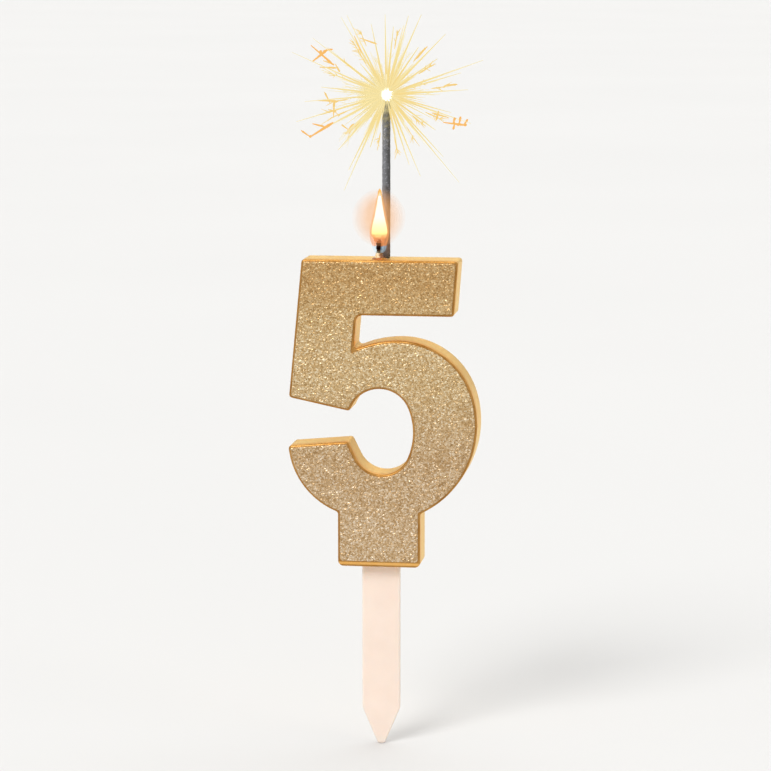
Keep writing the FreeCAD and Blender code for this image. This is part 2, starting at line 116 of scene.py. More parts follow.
# ------------------------------------------------------- outlines from the CAD
def ring_loop(obj, y, flat=False):
    """A closed loop of edges of a CAD mesh at one y, as (x, z): the outline of
    the flat face there, or the line where the wall meets its rounded rim."""
    me = obj.data
    co = np.empty(len(me.vertices) * 3)
    me.vertices.foreach_get("co", co)
    co = co.reshape(-1, 3)
    near = np.abs(co[:, 1] - y) < 3e-6
    key = [(round(p[0] * 1e6), round(p[2] * 1e6)) for p in co]
    uses = {}
    for poly in me.polygons:
        vs = list(poly.vertices)
        if flat and not all(near[i] for i in vs):
            continue
        for a, b in zip(vs, vs[1:] + vs[:1]):
            if near[a] and near[b] and key[a] != key[b]:
                e = tuple(sorted((key[a], key[b])))
                uses[e] = uses.get(e, 0) + 1
    nxt = {}
    for (a, b), n in uses.items():
        if not flat or n == 1:
            nxt.setdefault(a, set()).add(b)
            nxt.setdefault(b, set()).add(a)
    best, used = [], set()
    for start in sorted(nxt):
        if start in used:
            continue
        loop, here = [start], start
        used.add(start)
        while True:
            steps = [m for m in sorted(nxt[here]) if m not in used]
            if not steps:
                break
            here = steps[0]
            used.add(here)
            loop.append(here)
        if len(loop) > len(best):
            best = loop
    pts = np.array(best, float) * 1e-6
    area = 0.5 * np.sum(pts[:, 0] * np.roll(pts[:, 1], -1) - np.roll(pts[:, 0], -1) * pts[:, 1])
    if area < 0:
        pts = pts[::-1]
    return pts


def resample(loop, step):
    q = np.vstack([loop, loop[:1]])
    seg = np.linalg.norm(np.diff(q, axis=0), axis=1)
    s = np.concatenate([[0], np.cumsum(seg)])
    n = int(round(s[-1] / step))
    t = np.arange(n) * s[-1] / n
    return np.stack([np.interp(t, s, q[:, 0]), np.interp(t, s, q[:, 1])], 1)


def loop_normals(p):
    """Outward normals of an anticlockwise loop."""
    t = np.roll(p, -1, 0) - np.roll(p, 1, 0)
    t /= np.linalg.norm(t, axis=1)[:, None]
    return np.stack([t[:, 1], -t[:, 0]], 1)


def inside(points, loop):
    x, y = points[:, 0], points[:, 1]
    res = np.zeros(len(points), bool)
    x0, y0 = loop[:, 0], loop[:, 1]
    x1, y1 = np.roll(x0, -1), np.roll(y0, -1)
    for a, b, c, d in zip(x0, y0, x1, y1):
        if b == d:
            continue
        cond = (b > y) != (d > y)
        res ^= cond & (x < (c - a) * (y - b) / (d - b) + a)
    return res


def interior(loop, step, margin, seed, jitter=0.33):
    """Jittered triangular grid inside a loop, kept clear of its edge."""
    rnd = np.random.RandomState(seed)
    lo, hi = loop.min(0), loop.max(0)
    rows = []
    z, k = lo[1], 0
    while z < hi[1]:
        xs = np.arange(lo[0] + (step / 2 if k % 2 else 0), hi[0], step)
        rows.append(np.stack([xs, np.full(len(xs), z)], 1))
        z += step * 0.866
        k += 1
    pts = np.vstack(rows)
    pts = pts + rnd.uniform(-jitter, jitter, pts.shape) * step
    pts = pts[inside(pts, loop)]
    tree = KDTree(len(loop))
    for i, p in enumerate(loop):
        tree.insert((p[0], p[1], 0), i)
    tree.balance()
    keep = [tree.find((p[0], p[1], 0))[2] > margin for p in pts]
    return pts[np.array(keep)]


def fill(loop, pts):
    """Triangles over a loop and its inner points, as indices into loop then pts."""
    n = len(loop)
    scale = 1000.0
    coords = [Vector((p[0] * scale, p[1] * scale)) for p in loop] + [Vector((p[0] * scale, p[1] * scale)) for p in pts]
    edges = [(i, (i + 1) % n) for i in range(n)]
    verts, _e, faces, orig, _oe, _of = delaunay_2d_cdt(coords, edges, [], 1, 1e-7)
    back = [o[0] if o else -1 for o in orig]
    out = []
    for f in faces:
        g = [back[i] for i in f]
        if min(g) >= 0 and len(set(g)) == len(g):
            out.append(g)
    return out


# -------------------------------------------------------------------- nodes
class Mat:
    """A small wrapper round a node material."""

    def __init__(self, name):
        self.m = bpy.data.materials.new(name)
        self.m.use_nodes = True
        self.t = self.m.node_tree
        self.t.nodes.clear()
        self.out = self.n("ShaderNodeOutputMaterial")

    def n(self, kind, **props):
        node = self.t.nodes.new(kind)
        for k, v in props.items():
            setattr(node, k, v)
        return node

    def link(self, a, b):
        self.t.links.new(a, b)

    def coords(self):
        if not hasattr(self, "_co"):
            self._co = self.n("ShaderNodeTexCoord").outputs["Object"]
        return self._co

    def noise(self, scale, detail=3.0, rough=0.55, distortion=0.0, vector=None):
        k = self.n("ShaderNodeTexNoise")
        k.inputs["Scale"].default_value = scale
        k.inputs["Detail"].default_value = detail
        k.inputs["Roughness"].default_value = rough
        k.inputs["Distortion"].default_value = distortion
        self.link(vector or self.coords(), k.inputs["Vector"])
        return k.outputs["Fac"]

    def voronoi(self, scale, feature="F1", vector=None, randomness=1.0):
        k = self.n("ShaderNodeTexVoronoi", feature=feature)
        k.inputs["Scale"].default_value = scale
        k.inputs["Randomness"].default_value = randomness
        self.link(vector or self.coords(), k.inputs["Vector"])
        return k

    def ramp(self, fac, stops, interpolation="LINEAR"):
        k = self.n("ShaderNodeValToRGB")
        k.color_ramp.interpolation = interpolation
        el = k.color_ramp.elements
        while len(el) > 1:
            el.remove(el[-1])
        el[0].position, el[0].color = stops[0]
        for pos, col in stops[1:]:
            e = el.new(pos)
            e.color = col
        self.link(fac, k.inputs["Fac"])
        return k.outputs["Color"]

    def range(self, value, a, b, c=0.0, d=1.0, smooth=False):
        k = self.n("ShaderNodeMapRange")
        if smooth:
            k.interpolation_type = "SMOOTHSTEP"
        k.inputs["From Min"].default_value = a
        k.inputs["From Max"].default_value = b
        k.inputs["To Min"].default_value = c
        k.inputs["To Max"].default_value = d
        self.link(value, k.inputs["Value"])
        return k.outputs["Result"]

    def mix(self, fac, a, b, blend="MIX"):
        k = self.n("ShaderNodeMix", data_type="RGBA", blend_type=blend)
        for sock, v in ((k.inputs[0], fac), (k.inputs[6], a), (k.inputs[7], b)):
            if hasattr(v, "links") or hasattr(v, "is_linked"):
                self.link(v, sock)
            else:
                sock.default_value = v
        return k.outputs[2]

    def math(self, op, a, b=None):
        k = self.n("ShaderNodeMath", operation=op)
        for sock, v in ((k.inputs[0], a), (k.inputs[1], b)):
            if v is None:
                continue
            if hasattr(v, "is_linked"):
                self.link(v, sock)
            else:
                sock.default_value = v
        return k.outputs[0]

    def axis(self, which):
        if not hasattr(self, "_xyz"):
            k = self.n("ShaderNodeSeparateXYZ")
            self.link(self.coords(), k.inputs[0])
            self._xyz = k
        return self._xyz.outputs[which]

    def bump(self, height, strength, distance, normal=None):
        k = self.n("ShaderNodeBump")
        k.inputs["Strength"].default_value = strength
        k.inputs["Distance"].default_value = distance
        self.link(height, k.inputs["Height"])
        if normal is not None:
            self.link(normal, k.inputs["Normal"])
        return k.outputs["Normal"]

    def principled(self, color=None, rough=None, normal=None, **sockets):
        p = self.n("ShaderNodeBsdfPrincipled")
        for name, v in (("Base Color", color), ("Roughness", rough), ("Normal", normal)):
            if v is None:
                continue
            if hasattr(v, "is_linked"):
                self.link(v, p.inputs[name])
            else:
                p.inputs[name].default_value = v
        for k, v in sockets.items():
            sock = p.inputs[k.replace("_", " ")]
            if hasattr(v, "is_linked"):
                self.link(v, sock)
            else:
                sock.default_value = v
        self.link(p.outputs[0], self.out.inputs["Surface"])
        return p

    def emission(self, color, strength=1.0, alpha=None):
        e = self.n("ShaderNodeEmission")
        if hasattr(color, "is_linked"):
            self.link(color, e.inputs["Color"])
        else:
            e.inputs["Color"].default_value = color
        e.inputs["Strength"].default_value = strength
        if alpha is None:
            self.link(e.outputs[0], self.out.inputs["Surface"])
        else:
            tr = self.n("ShaderNodeBsdfTransparent")
            mx = self.n("ShaderNodeMixShader")
            mx.inputs[0].default_value = alpha
            self.link(tr.outputs[0], mx.inputs[1])
            self.link(e.outputs[0], mx.inputs[2])
            self.link(mx.outputs[0], self.out.inputs["Surface"])
        return e


def paint(ob, mat):
    ob.data.materials.clear()
    ob.data.materials.append(mat.m)
    return ob


# ---------------------------------------------------------------- materials
def gold_wax():
    m = Mat("satin_gold_wax")
    cloud = m.noise(90, 4, 0.6)
    body = m.ramp(cloud, [(0.3, rgb(243, 197, 117)), (0.5, rgb(249, 210, 135)), (0.72, rgb(253, 223, 156))])
    # fine specks of gold pigment
    speck = m.voronoi(2600).outputs["Color"]
    fleck = m.ramp(speck, [(0.0, rgb(226, 170, 90)), (0.5, rgb(247, 206, 132)), (1.0, rgb(255, 236, 184))])
    body = m.mix(0.22, body, fleck)
    # painted shade: the walls turn darker orange towards the front edge
    depth = m.axis("Y")
    front_wall_shade = m.range(depth, -0.0012, -0.0043, 0.0, 0.6, smooth=True)
    body = m.mix(front_wall_shade, body, rgb(228, 158, 66))
    # painted shade along the rounded front arris and the glitter's edge: a thin dark orange line round the figure
    rim = m.range(depth, -0.00418, -0.00446, 0.0, 1.0, smooth=True)
    edge_shade_colour = m.ramp(m.noise(260, 3), [(0.3, rgb(158, 108, 46)), (0.7, rgb(190, 142, 78))])
    # the painted edge shade is left off a pale band across the foot, below the glitter
    up, side = m.axis("Z"), m.axis("X")
    band = m.math("MULTIPLY", m.range(up, 0.00040, 0.00062, 0.0, 1.0, True), m.range(up, 0.00104, 0.00122, 1.0, 0.0, True))
    inner = m.math("MULTIPLY", m.range(side, -0.0101, -0.0097, 0.0, 1.0, True), m.range(side, 0.0097, 0.0101, 1.0, 0.0, True))
    keep = m.math("MULTIPLY", band, inner)
    rim = m.math("MULTIPLY", rim, m.range(keep, 0.0, 1.0, 1.0, 0.06))
    color = m.mix(rim, body, edge_shade_colour)
    rough = m.range(m.noise(700, 3), 0.3, 0.7, 0.32, 0.46)
    soft = m.noise(420, 2)
    grain = m.noise(2600, 3)
    ripple = m.noise(150, 2, 0.5)
    nrm = m.bump(grain, 0.25, 0.00005, m.bump(soft, 0.35, 0.00016, m.bump(ripple, 0.4, 0.0006)))
    m.principled(color, rough, nrm, Metallic=0.72, Specular_IOR_Level=0.4, Specular_Tint=(1.0, 0.89, 0.66, 1.0))
    return m


def glitter():
    m = Mat("gold_glitter_coat")
    cell = m.voronoi(3300).outputs["Color"]
    k = m.n("ShaderNodeSeparateColor")
    m.link(cell, k.inputs[0])
    tone = m.ramp(k.outputs[0], [
        (0.0, rgb(158, 121, 70)), (0.25, rgb(185, 149, 96)), (0.55, rgb(201, 168, 118)),
        (0.8, rgb(212, 184, 138)), (1.0, rgb(234, 214, 176))])
    # deeper gold along the top bar, paler champagne below it
    up = m.range(m.axis("Z"), 0.0, 0.075)
    tint = m.ramp(up, [(0.0, (0.71, 0.75, 0.93, 1)), (0.2, (0.675, 0.70, 0.85, 1)), (0.35, (0.65, 0.66, 0.77, 1)),
                       (0.45, (0.66, 0.68, 0.77, 1)), (0.6, (0.72, 0.765, 0.84, 1)), (0.7, (0.735, 0.78, 0.86, 1)),
                       (0.8, (0.69, 0.70, 0.70, 1)), (0.92, (0.618, 0.562, 0.478, 1))])
    color = m.mix(1.0, tone, tint, "MULTIPLY")
    lift = m.n("ShaderNodeVectorMath", operation="SCALE")
    m.link(color, lift.inputs[0])
    lift.inputs["Scale"].default_value = 1.44
    color = lift.outputs[0]
    cloud = m.range(m.noise(160, 3), 0.3, 0.7, 0.0, 0.16)
    color = m.mix(cloud, color, rgb(176, 140, 88))
    rough = m.range(k.outputs[1], 0.0, 1.0, 0.24, 0.5)
    m.principled(color, rough, None, Metallic=0.72, Coat_Weight=0.2, Coat_Roughness=0.3)
    return m


def cotton():
    m = Mat("waxed_cotton_yarn")
    fibre = m.noise(3000, 4, 0.6)
    color = m.ramp(fibre, [(0.3, rgb(206, 182, 140)), (0.7, rgb(240, 225, 190))])
    m.principled(color, 0.55, m.bump(fibre, 0.5, 0.00008), Subsurface_Weight=0.1, Subsurface_Radius=(0.001, 0.0007, 0.0004), Subsurface_Scale=1.0)
    return m


def char():
    m = Mat("charred_yarn")
    fibre = m.noise(3400, 5, 0.65)
    up = m.range(m.axis("Z"), 0.0769, 0.0775, 0.0, 1.0, smooth=True)
    tone = m.ramp(fibre, [(0.3, rgb(38, 11, 15)), (0.75, rgb(80, 34, 25))])
    scorched = m.ramp(fibre, [(0.3, rgb(104, 58, 26)), (0.7, rgb(176, 122, 72))])
    color = m.mix(up, scorched, tone)
    m.principled(color, 0.8, m.bump(fibre, 0.7, 0.00012), Specular_IOR_Level=0.3)
    return m


def primer_wax():
    m = Mat("cream_primer_wax")
    cloud = m.noise(900, 3)
    cream = m.ramp(cloud, [(0.3, rgb(228, 188, 132)), (0.7, rgb(246, 220, 178))])
    # partly burnt drips, partly painted shade between the wick and the rod: the side nearest the sparkler is coloured
    # dark
    run = m.math("ADD", m.axis("X"), m.range(cloud, 0.3, 0.7, -0.0003, 0.0003))
    side = m.range(run, -0.00035, 0.00015, 0.0, 1.0, smooth=True)
    brown = m.ramp(m.noise(1800, 3), [(0.3, rgb(92, 46, 14)), (0.7, rgb(168, 104, 40))])
    color = m.mix(side, cream, brown)
    m.principled(color, 0.3, m.bump(m.noise(1500, 2), 0.4, 0.00008), Subsurface_Weight=0.15, Subsurface_Radius=(0.002, 0.0012, 0.0006), Subsurface_Scale=1.0, Coat_Weight=0.4, Coat_Roughness=0.12)
    return m


def molten_wax():
    m = Mat("molten_amber_wax")
    cloud = m.math("ADD", m.axis("X"), m.range(m.noise(1100, 3), 0.3, 0.7, -0.0005, 0.0005))
    color = m.ramp(m.range(cloud, -0.0022, 0.0018), [
        (0.0, rgb(150, 88, 34)), (0.28, rgb(158, 82, 28)), (0.55, rgb(192, 90, 30)), (0.75, rgb(196, 130, 40)), (1.0, rgb(150, 96, 30))])
    m.principled(color, 0.22, m.bump(m.noise(900, 2), 0.25, 0.00008), Coat_Weight=0.12, Coat_Roughness=0.12, Specular_IOR_Level=0.4)
    return m


def steel():
    m = Mat("drawn_steel_wire")
    streak = m.n("ShaderNodeMapping")
    streak.inputs["Scale"].default_value = (6000, 6000, 300)
    m.link(m.coords(), streak.inputs["Vector"])
    grain = m.noise(1.0, 3, vector=streak.outputs[0])
    color = m.ramp(grain, [(0.3, rgb(120, 120, 122)), (0.7, rgb(178, 178, 180))])
    m.principled(color, m.range(grain, 0.3, 0.7, 0.25, 0.42), m.bump(grain, 0.2, 0.00002), Metallic=1.0)
    return m


def composition():
    m = Mat("sparkler_composition")
    grit = m.noise(2600, 5, 0.65)
    cells = m.voronoi(3800)
    k = m.n("ShaderNodeSeparateColor")
    m.link(cells.outputs["Color"], k.inputs[0])
    base = m.ramp(grit, [(0.28, rgb(52, 52, 50)), (0.5, rgb(92, 92, 94)), (0.75, rgb(146, 146, 156))])
    filings = m.ramp(k.outputs[0], [(0.0, rgb(70, 70, 70)), (0.82, rgb(98, 98, 104)), (0.9, rgb(196, 196, 206)), (1.0, rgb(226, 226, 236))], "CONSTANT")
    color = m.mix(0.4, base, filings)
    # painted light and shade: the rod paler on its -X side and darker on its +X side, as if lit from the left
    burn = m.range(m.math("ADD", m.axis("X"), m.range(m.noise(500, 2), 0.3, 0.7, -0.0003, 0.0003)), 0.0004, 0.0018, 0.0, 1.0, smooth=True)
    color = m.mix(burn, m.mix(0.35, color, rgb(170, 172, 180)), m.mix(0.45, color, rgb(52, 52, 48)))
    # painted light of the flame on the rod beside it; sooty near the burning end
    z = m.axis("Z")
    flame_light = m.math("MULTIPLY", m.range(z, 0.0745, 0.0790, 0.0, 1.0, True), m.range(z, 0.0860, 0.0935, 1.0, 0.0, True))
    color = m.mix(m.math("MULTIPLY", flame_light, 0.6), color, rgb(140, 98, 66))
    # painted light of the sparks: a pale yellow cast in patches just below the bead
    spark_light = m.math("MULTIPLY", m.range(z, 0.1010, 0.1120, 0.0, 0.62, True), m.range(m.noise(900, 3), 0.44, 0.62, 0.0, 1.0))
    color = m.mix(spark_light, color, rgb(198, 186, 128))
    soot = m.math("MULTIPLY", m.range(z, 0.1065, 0.1115, 0.0, 0.85, True), m.range(m.noise(1400, 3), 0.42, 0.56, 0.0, 1.0))
    color = m.mix(soot, color, rgb(34, 32, 34))
    m.principled(color, m.range(grit, 0.3, 0.7, 0.35, 0.62), m.bump(grit, 0.5, 0.00008), Metallic=0.45)
    return m


def milky_plastic():
    m = Mat("milky_pick_plastic")
    flow = m.noise(120, 3, 0.5)
    color = m.ramp(flow, [(0.3, rgb(233, 215, 202)), (0.7, rgb(238, 221, 209))])
    fine = m.noise(2200, 2)
    # rub marks along the blade
    k = m.n("ShaderNodeMapping")
    k.inputs["Scale"].default_value = (4200, 4200, 160)
    m.link(m.coords(), k.inputs["Vector"])
    rub = m.noise(1.0, 2, vector=k.outputs[0])
    nrm = m.bump(rub, 0.12, 0.00003, m.bump(fine, 0.12, 0.00003))
    m.principled(color, m.range(rub, 0.3, 0.7, 0.38, 0.5), nrm, Subsurface_Weight=0.3, Subsurface_Radius=(0.003, 0.002, 0.0015), Subsurface_Scale=1.0)
    return m


MAT = {
    "wax": gold_wax(), "glitter": glitter(), "cotton": cotton(), "char": char(),
    "primer": primer_wax(), "molten": molten_wax(), "steel": steel(),
    "composition": composition(), "plastic": milky_plastic(),
}


# ------------------------------------------------------------ wax numeral
def wave(x, y, z, size):
    return noise.noise(Vector((x, y, z)) / size)


def numeral():
    lo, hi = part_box("wax_numeral")
    front, back = lo.y, hi.y
    rim = 0.5 * MM
    loop = resample(ring_loop(NODES["wax_numeral"], back - rim), 0.34 * MM)
    nrm = loop_normals(loop)
    n = len(loop)
    profile = []
    for a in (90, 67, 45, 22, 0):                       # front arris, rounded
        r = math.radians(a)
        profile.append((rim * (1 - math.cos(r)), front + rim * (1 - math.sin(r))))
    profile = [(rim, front)] + profile[1:]
    for t in np.linspace(0, 1, 12)[1:-1]:
        profile.append((0.0, front + rim + t * (back - front - 2 * rim)))
    for a in (0, 22, 45, 67, 90):
        r = math.radians(a)
        profile.append((rim * (1 - math.cos(r)), back - rim * (1 - math.sin(r))))
    verts = []
    for d, y in profile:
        ring = loop - nrm * d
        for (x, z), (nx, nz) in zip(ring, nrm):
            # the wall of a casting is never quite flat
            w = 0.0
            if d == 0.0:
                w = 0.035 * MM * wave(x, y, z, 3.2 * MM) + 0.014 * MM * wave(x, y * 2, z, 0.9 * MM) - 0.03 * MM
            verts.append((x + nx * w, y, z + nz * w))
    faces = []
    rings = len(profile)
    for k in range(rings - 1):
        for i in range(n):
            j = (i + 1) % n
            faces.append((k * n + i, k * n + j, (k + 1) * n + j, (k + 1) * n + i))
    # front: plain, as the glitter lies on it
    ring0 = np.array([(verts[i][0], verts[i][2]) for i in range(n)])
    pts = interior(ring0, 2.0 * MM, 0.8 * MM, 3)
    base = len(verts)
    verts += [(p[0], front, p[1]) for p in pts]
    for f in fill(ring0, pts):
        faces.append([i if i < n else base + i - n for i in f])
    # back: the poured side, with faint ripples and a meniscus along its edge
    top = (rings - 1) * n
    ring1 = np.array([(verts[top + i][0], verts[top + i][2]) for i in range(n)])
    pts = interior(ring1, 0.62 * MM, 0.36 * MM, 4)
    tree = KDTree(n)
    for i, p in enumerate(ring1):
        tree.insert((p[0], p[1], 0), i)
    tree.balance()
    base = len(verts)
    for p in pts:
        edge = tree.find((p[0], p[1], 0))[2]
        dip = 0.16 * MM * (1 - math.exp(-edge / (0.9 * MM)))
        ripple = 0.035 * MM * wave(p[0], 0.01, p[1], 5.5 * MM) + 0.012 * MM * wave(p[0], 0.03, p[1], 1.3 * MM)
        verts.append((p[0], back - dip + ripple * min(1.0, edge / (1.0 * MM)), p[1]))
    for f in fill(ring1, pts):
        faces.append([top + i if i < n else base + i - n for i in f])
    ob = outward(mesh_object("numeral_wax_body", verts, faces))
    # the sparkler's hole, the wick's hole and the pick's slot
    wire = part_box("sparkler_wire")
    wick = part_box("wick_braid")
    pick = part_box("pick")
    cutters = []
    for nm, c, r, z0, z1 in (
        ("bore_wire", (wire[0] + wire[1]) / 2, 0.55 * MM, wire[0].z - 0.05 * MM, hi.z + 1 * MM),
        ("bore_wick", (wick[0] + wick[1]) / 2, 0.78 * MM, wick[0].z, hi.z + 1 * MM),
    ):
        seg = 28
        vv = [(c.x + r * math.cos(2 * math.pi * i / seg), c.y + r * math.sin(2 * math.pi * i / seg), z)
              for z in (z0, z1) for i in range(seg)]
        ff = [list(range(seg))[::-1], list(range(seg, 2 * seg))]
        ff += [(i, (i + 1) % seg, seg + (i + 1) % seg, seg + i) for i in range(seg)]
        cutters.append(outward(mesh_object(nm, vv, ff)))
    w, t, zt = pick[1].x + 0.05 * MM, pick[1].y + 0.05 * MM, pick[1].z + 0.05 * MM
    vv = [(sx * w, sy * t, z) for z in (-1 * MM, zt) for sx, sy in ((-1, -1), (1, -1), (1, 1), (-1, 1))]
    ff = [(3, 2, 1, 0), (4, 5, 6, 7)] + [(i, (i + 1) % 4, 4 + (i + 1) % 4, 4 + i) for i in range(4)]
    cutters.append(outward(mesh_object("slot_tang", vv, ff)))
    bpy.context.view_layer.objects.active = ob
    for c in cutters:
        mod = ob.modifiers.new(c.name, "BOOLEAN")
        mod.operation = "DIFFERENCE"
        mod.solver = "EXACT"
        mod.object = c
        bpy.ops.object.modifier_apply(modifier=mod.name)
        bpy.data.objects.remove(c)
    sharp_by_angle(ob, 38)
    paint(ob, MAT["wax"])
    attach(ob, "numeral")
    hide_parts("wax_numeral")
    return ob


# ----------------------------------------------------------- glitter coat
def coat():
    lo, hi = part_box("front_glitter_coat")
    front, back = lo.y, hi.y
    loop = resample(ring_loop(NODES["front_glitter_coat"], back, flat=True), 0.28 * MM)
    nrm = loop_normals(loop)
    n = len(loop)
    rnd = random.Random(5)
    profile = [(0.0, back), (0.0, front + 0.22 * MM), (0.05 * MM, front + 0.13 * MM), (0.16 * MM, front + 0.08 * MM)]
    verts = []
    for k, (d, y) in enumerate(profile):
        for (x, z), (nx, nz) in zip(loop, nrm):
            j = 0.0 if k == 0 else rnd.uniform(-0.03, 0.03) * MM
            verts.append((x - nx * (d + max(j, -d) * 0.8), y + (j if k else 0.0), z - nz * (d + max(j, -d) * 0.8)))
    faces = []
    for k in range(len(profile) - 1):
        for i in range(n):
            j = (i + 1) % n
            faces.append((k * n + i, k * n + j, (k + 1) * n + j, (k + 1) * n + i))
    top = (len(profile) - 1) * n
    ring = np.array([(verts[top + i][0], verts[top + i][2]) for i in range(n)])
    pts = interior(ring, 0.29 * MM, 0.16 * MM, 11)
    base = len(verts)
    for p in pts:
        verts.append((p[0], front + 0.07 * MM + rnd.uniform(-0.05, 0.05) * MM, p[1]))
    for f in fill(ring, pts):
        faces.append([top + i if i < n else base + i - n for i in f])
    # the flat back against the wax
    for f in fill(loop, np.zeros((0, 2))):
        faces.append(list(f)[::-1])
    ob = outward(mesh_object("glitter_coat", verts, faces, smooth=False))
    paint(ob, MAT["glitter"])
    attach(ob, "numeral")
    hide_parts("front_glitter_coat")
    return ob


# ------------------------------------------------------------------- wick
def tube(path, radius, seg=12, seed=0, lobes=0, lobe_depth=0.0, twist=0.0):
    """A closed tube along points, with a radius for each point."""
    path = [Vector(p) for p in path]
    verts, faces = [], []
    up = Vector((0.0, 1.0, 0.0))
    frames = []
    for i, p in enumerate(path):
        t = (path[min(i + 1, len(path) - 1)] - path[max(i - 1, 0)]).normalized()
        side = t.cross(up)
        if side.length < 1e-6:
            side = t.cross(Vector((1, 0, 0)))
        side.normalize()
        frames.append((p, side, side.cross(t).normalized()))
        up = side.cross(t) * -1
    for i, (p, a, b) in enumerate(frames):
        r = radius[i]
        for k in range(seg):
            an = 2 * math.pi * k / seg
            rr = r * (1 + (lobe_depth * math.cos(lobes * (an + twist * i)) if lobes else 0.0))
            verts.append(p + a * (rr * math.cos(an)) + b * (rr * math.sin(an)))
    m = len(path)
    for i in range(m - 1):
        for k in range(seg):
            j = (k + 1) % seg
            faces.append((i * seg + k, i * seg + j, (i + 1) * seg + j, (i + 1) * seg + k))
    faces.append([k for k in range(seg)][::-1])
    faces.append([(m - 1) * seg + k for k in range(seg)])
    return verts, faces


def wick():
    lo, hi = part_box("wick_braid")
    clo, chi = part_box("wick_char")
    cx, cy = (lo.x + hi.x) / 2, (lo.y + hi.y) / 2

    def centre(z):
        # the burnt end leans a little
        t = max(0.0, (z - hi.z) / (chi.z - hi.z))
        return cx + 0.10 * MM * t * t, cy - 0.04 * MM * t

    def strands(z0, z1, step, plies, grow, name, mat, node):
        b = Builder()
        for s in range(plies):
            pts, rad = [], []
            z = z0
            count = int((z1 - z0) / step) + 1
            for i in range(count + 1):
                z = z0 + (z1 - z0) * i / count
                t = max(0.0, (z - hi.z) / (chi.z - hi.z))
                size = grow(t)
                an = 2 * math.pi * (z / (3.4 * MM) + s / plies)
                x0, y0 = centre(z)
                pts.append((x0 + 0.37 * MM * size * math.cos(an), y0 + 0.37 * MM * size * math.sin(an), z))
                rad.append(0.40 * MM * size)
            v, f = tube(pts, rad, seg=20, lobes=7, lobe_depth=0.07, twist=0.16)
            b.add(v, f)
        ob = outward(b.make(name))
        paint(ob, mat)
        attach(ob, "numeral")
        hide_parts(node)
        return ob

    strands(lo.z, hi.z, 0.14 * MM, 3, lambda t: 1.0, "wick_yarn", MAT["cotton"], "wick_braid")

    def burn(t):
        if t < 0.12:
            return 1.0 + 0.3 * t
        return 1.036 if t < 0.6 else max(0.34, 1.036 - 1.7 * (t - 0.6))

    ch = strands(hi.z, chi.z - 0.1 * MM, 0.09 * MM, 3, burn, "wick_burnt_end", MAT["char"], "wick_char")
    for v in ch.data.vertices:
        w = noise.noise_vector(v.co / (0.35 * MM))
        t = max(0.0, (v.co.z - hi.z) / (chi.z - hi.z))
        v.co += w * (0.05 * MM * min(1.0, t * 3))
    ch.data.update()


def sleeve_and_pool():
    lo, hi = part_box("wick_wax_sleeve")
    cx, cy = (lo.x + hi.x) / 2, (lo.y + hi.y) / 2
    seg = 72
    rings = [(0.80, -0.1, 0.0), (1.24, -0.1, 1.0), (1.10, 0.12, 1.0), (0.98, 0.30, 1.0), (0.92, 0.52, 1.0), (0.89, 0.74, 1.0), (0.87, 0.92, 0.8), (0.84, 1.05, 0.3), (0.79, 1.10, 0.0)]
    verts, faces = [], []
    for r, z, rough in rings:
        for k in range(seg):
            an = 2 * math.pi * k / seg
            w = wave(math.cos(an), math.sin(an), z * 0.7, 0.8) * 0.10 * rough + wave(math.cos(an), math.sin(an), z, 0.3) * 0.03 * rough
            lift = 0.10 * wave(math.cos(an) * 1.3, 4.0, math.sin(an) * 1.3, 0.9) * (z / 1.1)
            rr = (r + w) * MM
            verts.append((cx + rr * math.cos(an), cy + rr * math.sin(an), lo.z + (z + lift) * MM))
    m = len(rings)
    for i in range(m):
        i2 = (i + 1) % m
        for k in range(seg):
            j = (k + 1) % seg
            faces.append((i * seg + k, i * seg + j, i2 * seg + j, i2 * seg + k))
    ob = outward(mesh_object("wick_primer_wax", verts, faces))
    paint(ob, MAT["primer"])
    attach(ob, "numeral")
    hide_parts("wick_wax_sleeve")

    plo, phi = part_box("melt_pool")
    z0 = plo.z
    seg = 96
    verts, faces = [], []
    rings = [(1.0, -0.02), (1.0, 0.05), (0.97, 0.12), (0.9, 0.19), (0.8, 0.24), (0.66, 0.27), (0.5, 0.29), (0.36, 0.30)]
    for s, z in rings:
        for k in range(seg):
            an = 2 * math.pi * k / seg
            c, sn = math.cos(an), math.sin(an)
            # an uneven puddle that has crept round the front of the sparkler
            r = 1.72 + 0.16 * wave(c, sn, 0.3, 0.7) + 0.5 * max(0.0, math.cos(an + 0.35)) ** 4
            if sn > 0:
                r = min(r, 1.72 - 0.36 * sn * max(0.0, c + 0.2))
            rr = r * s * MM
            verts.append((cx + rr * c, cy + rr * sn, z0 + (z + (0.02 * wave(c * s * 2, sn * s * 2, 0.1, 0.5) if z > 0.1 else 0.0)) * MM))
    m = len(rings)
    for i in range(m - 1):
        for k in range(seg):
            j = (k + 1) % seg
            faces.append((i * seg + k, i * seg + j, (i + 1) * seg + j, (i + 1) * seg + k))
    faces.append([k for k in range(seg)][::-1])
    faces.append([(m - 1) * seg + k for k in range(seg)])
    ob = outward(mesh_object("melted_wax_pool", verts, faces))
    paint(ob, MAT["molten"])
    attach(ob, "numeral")
    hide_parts("melt_pool")


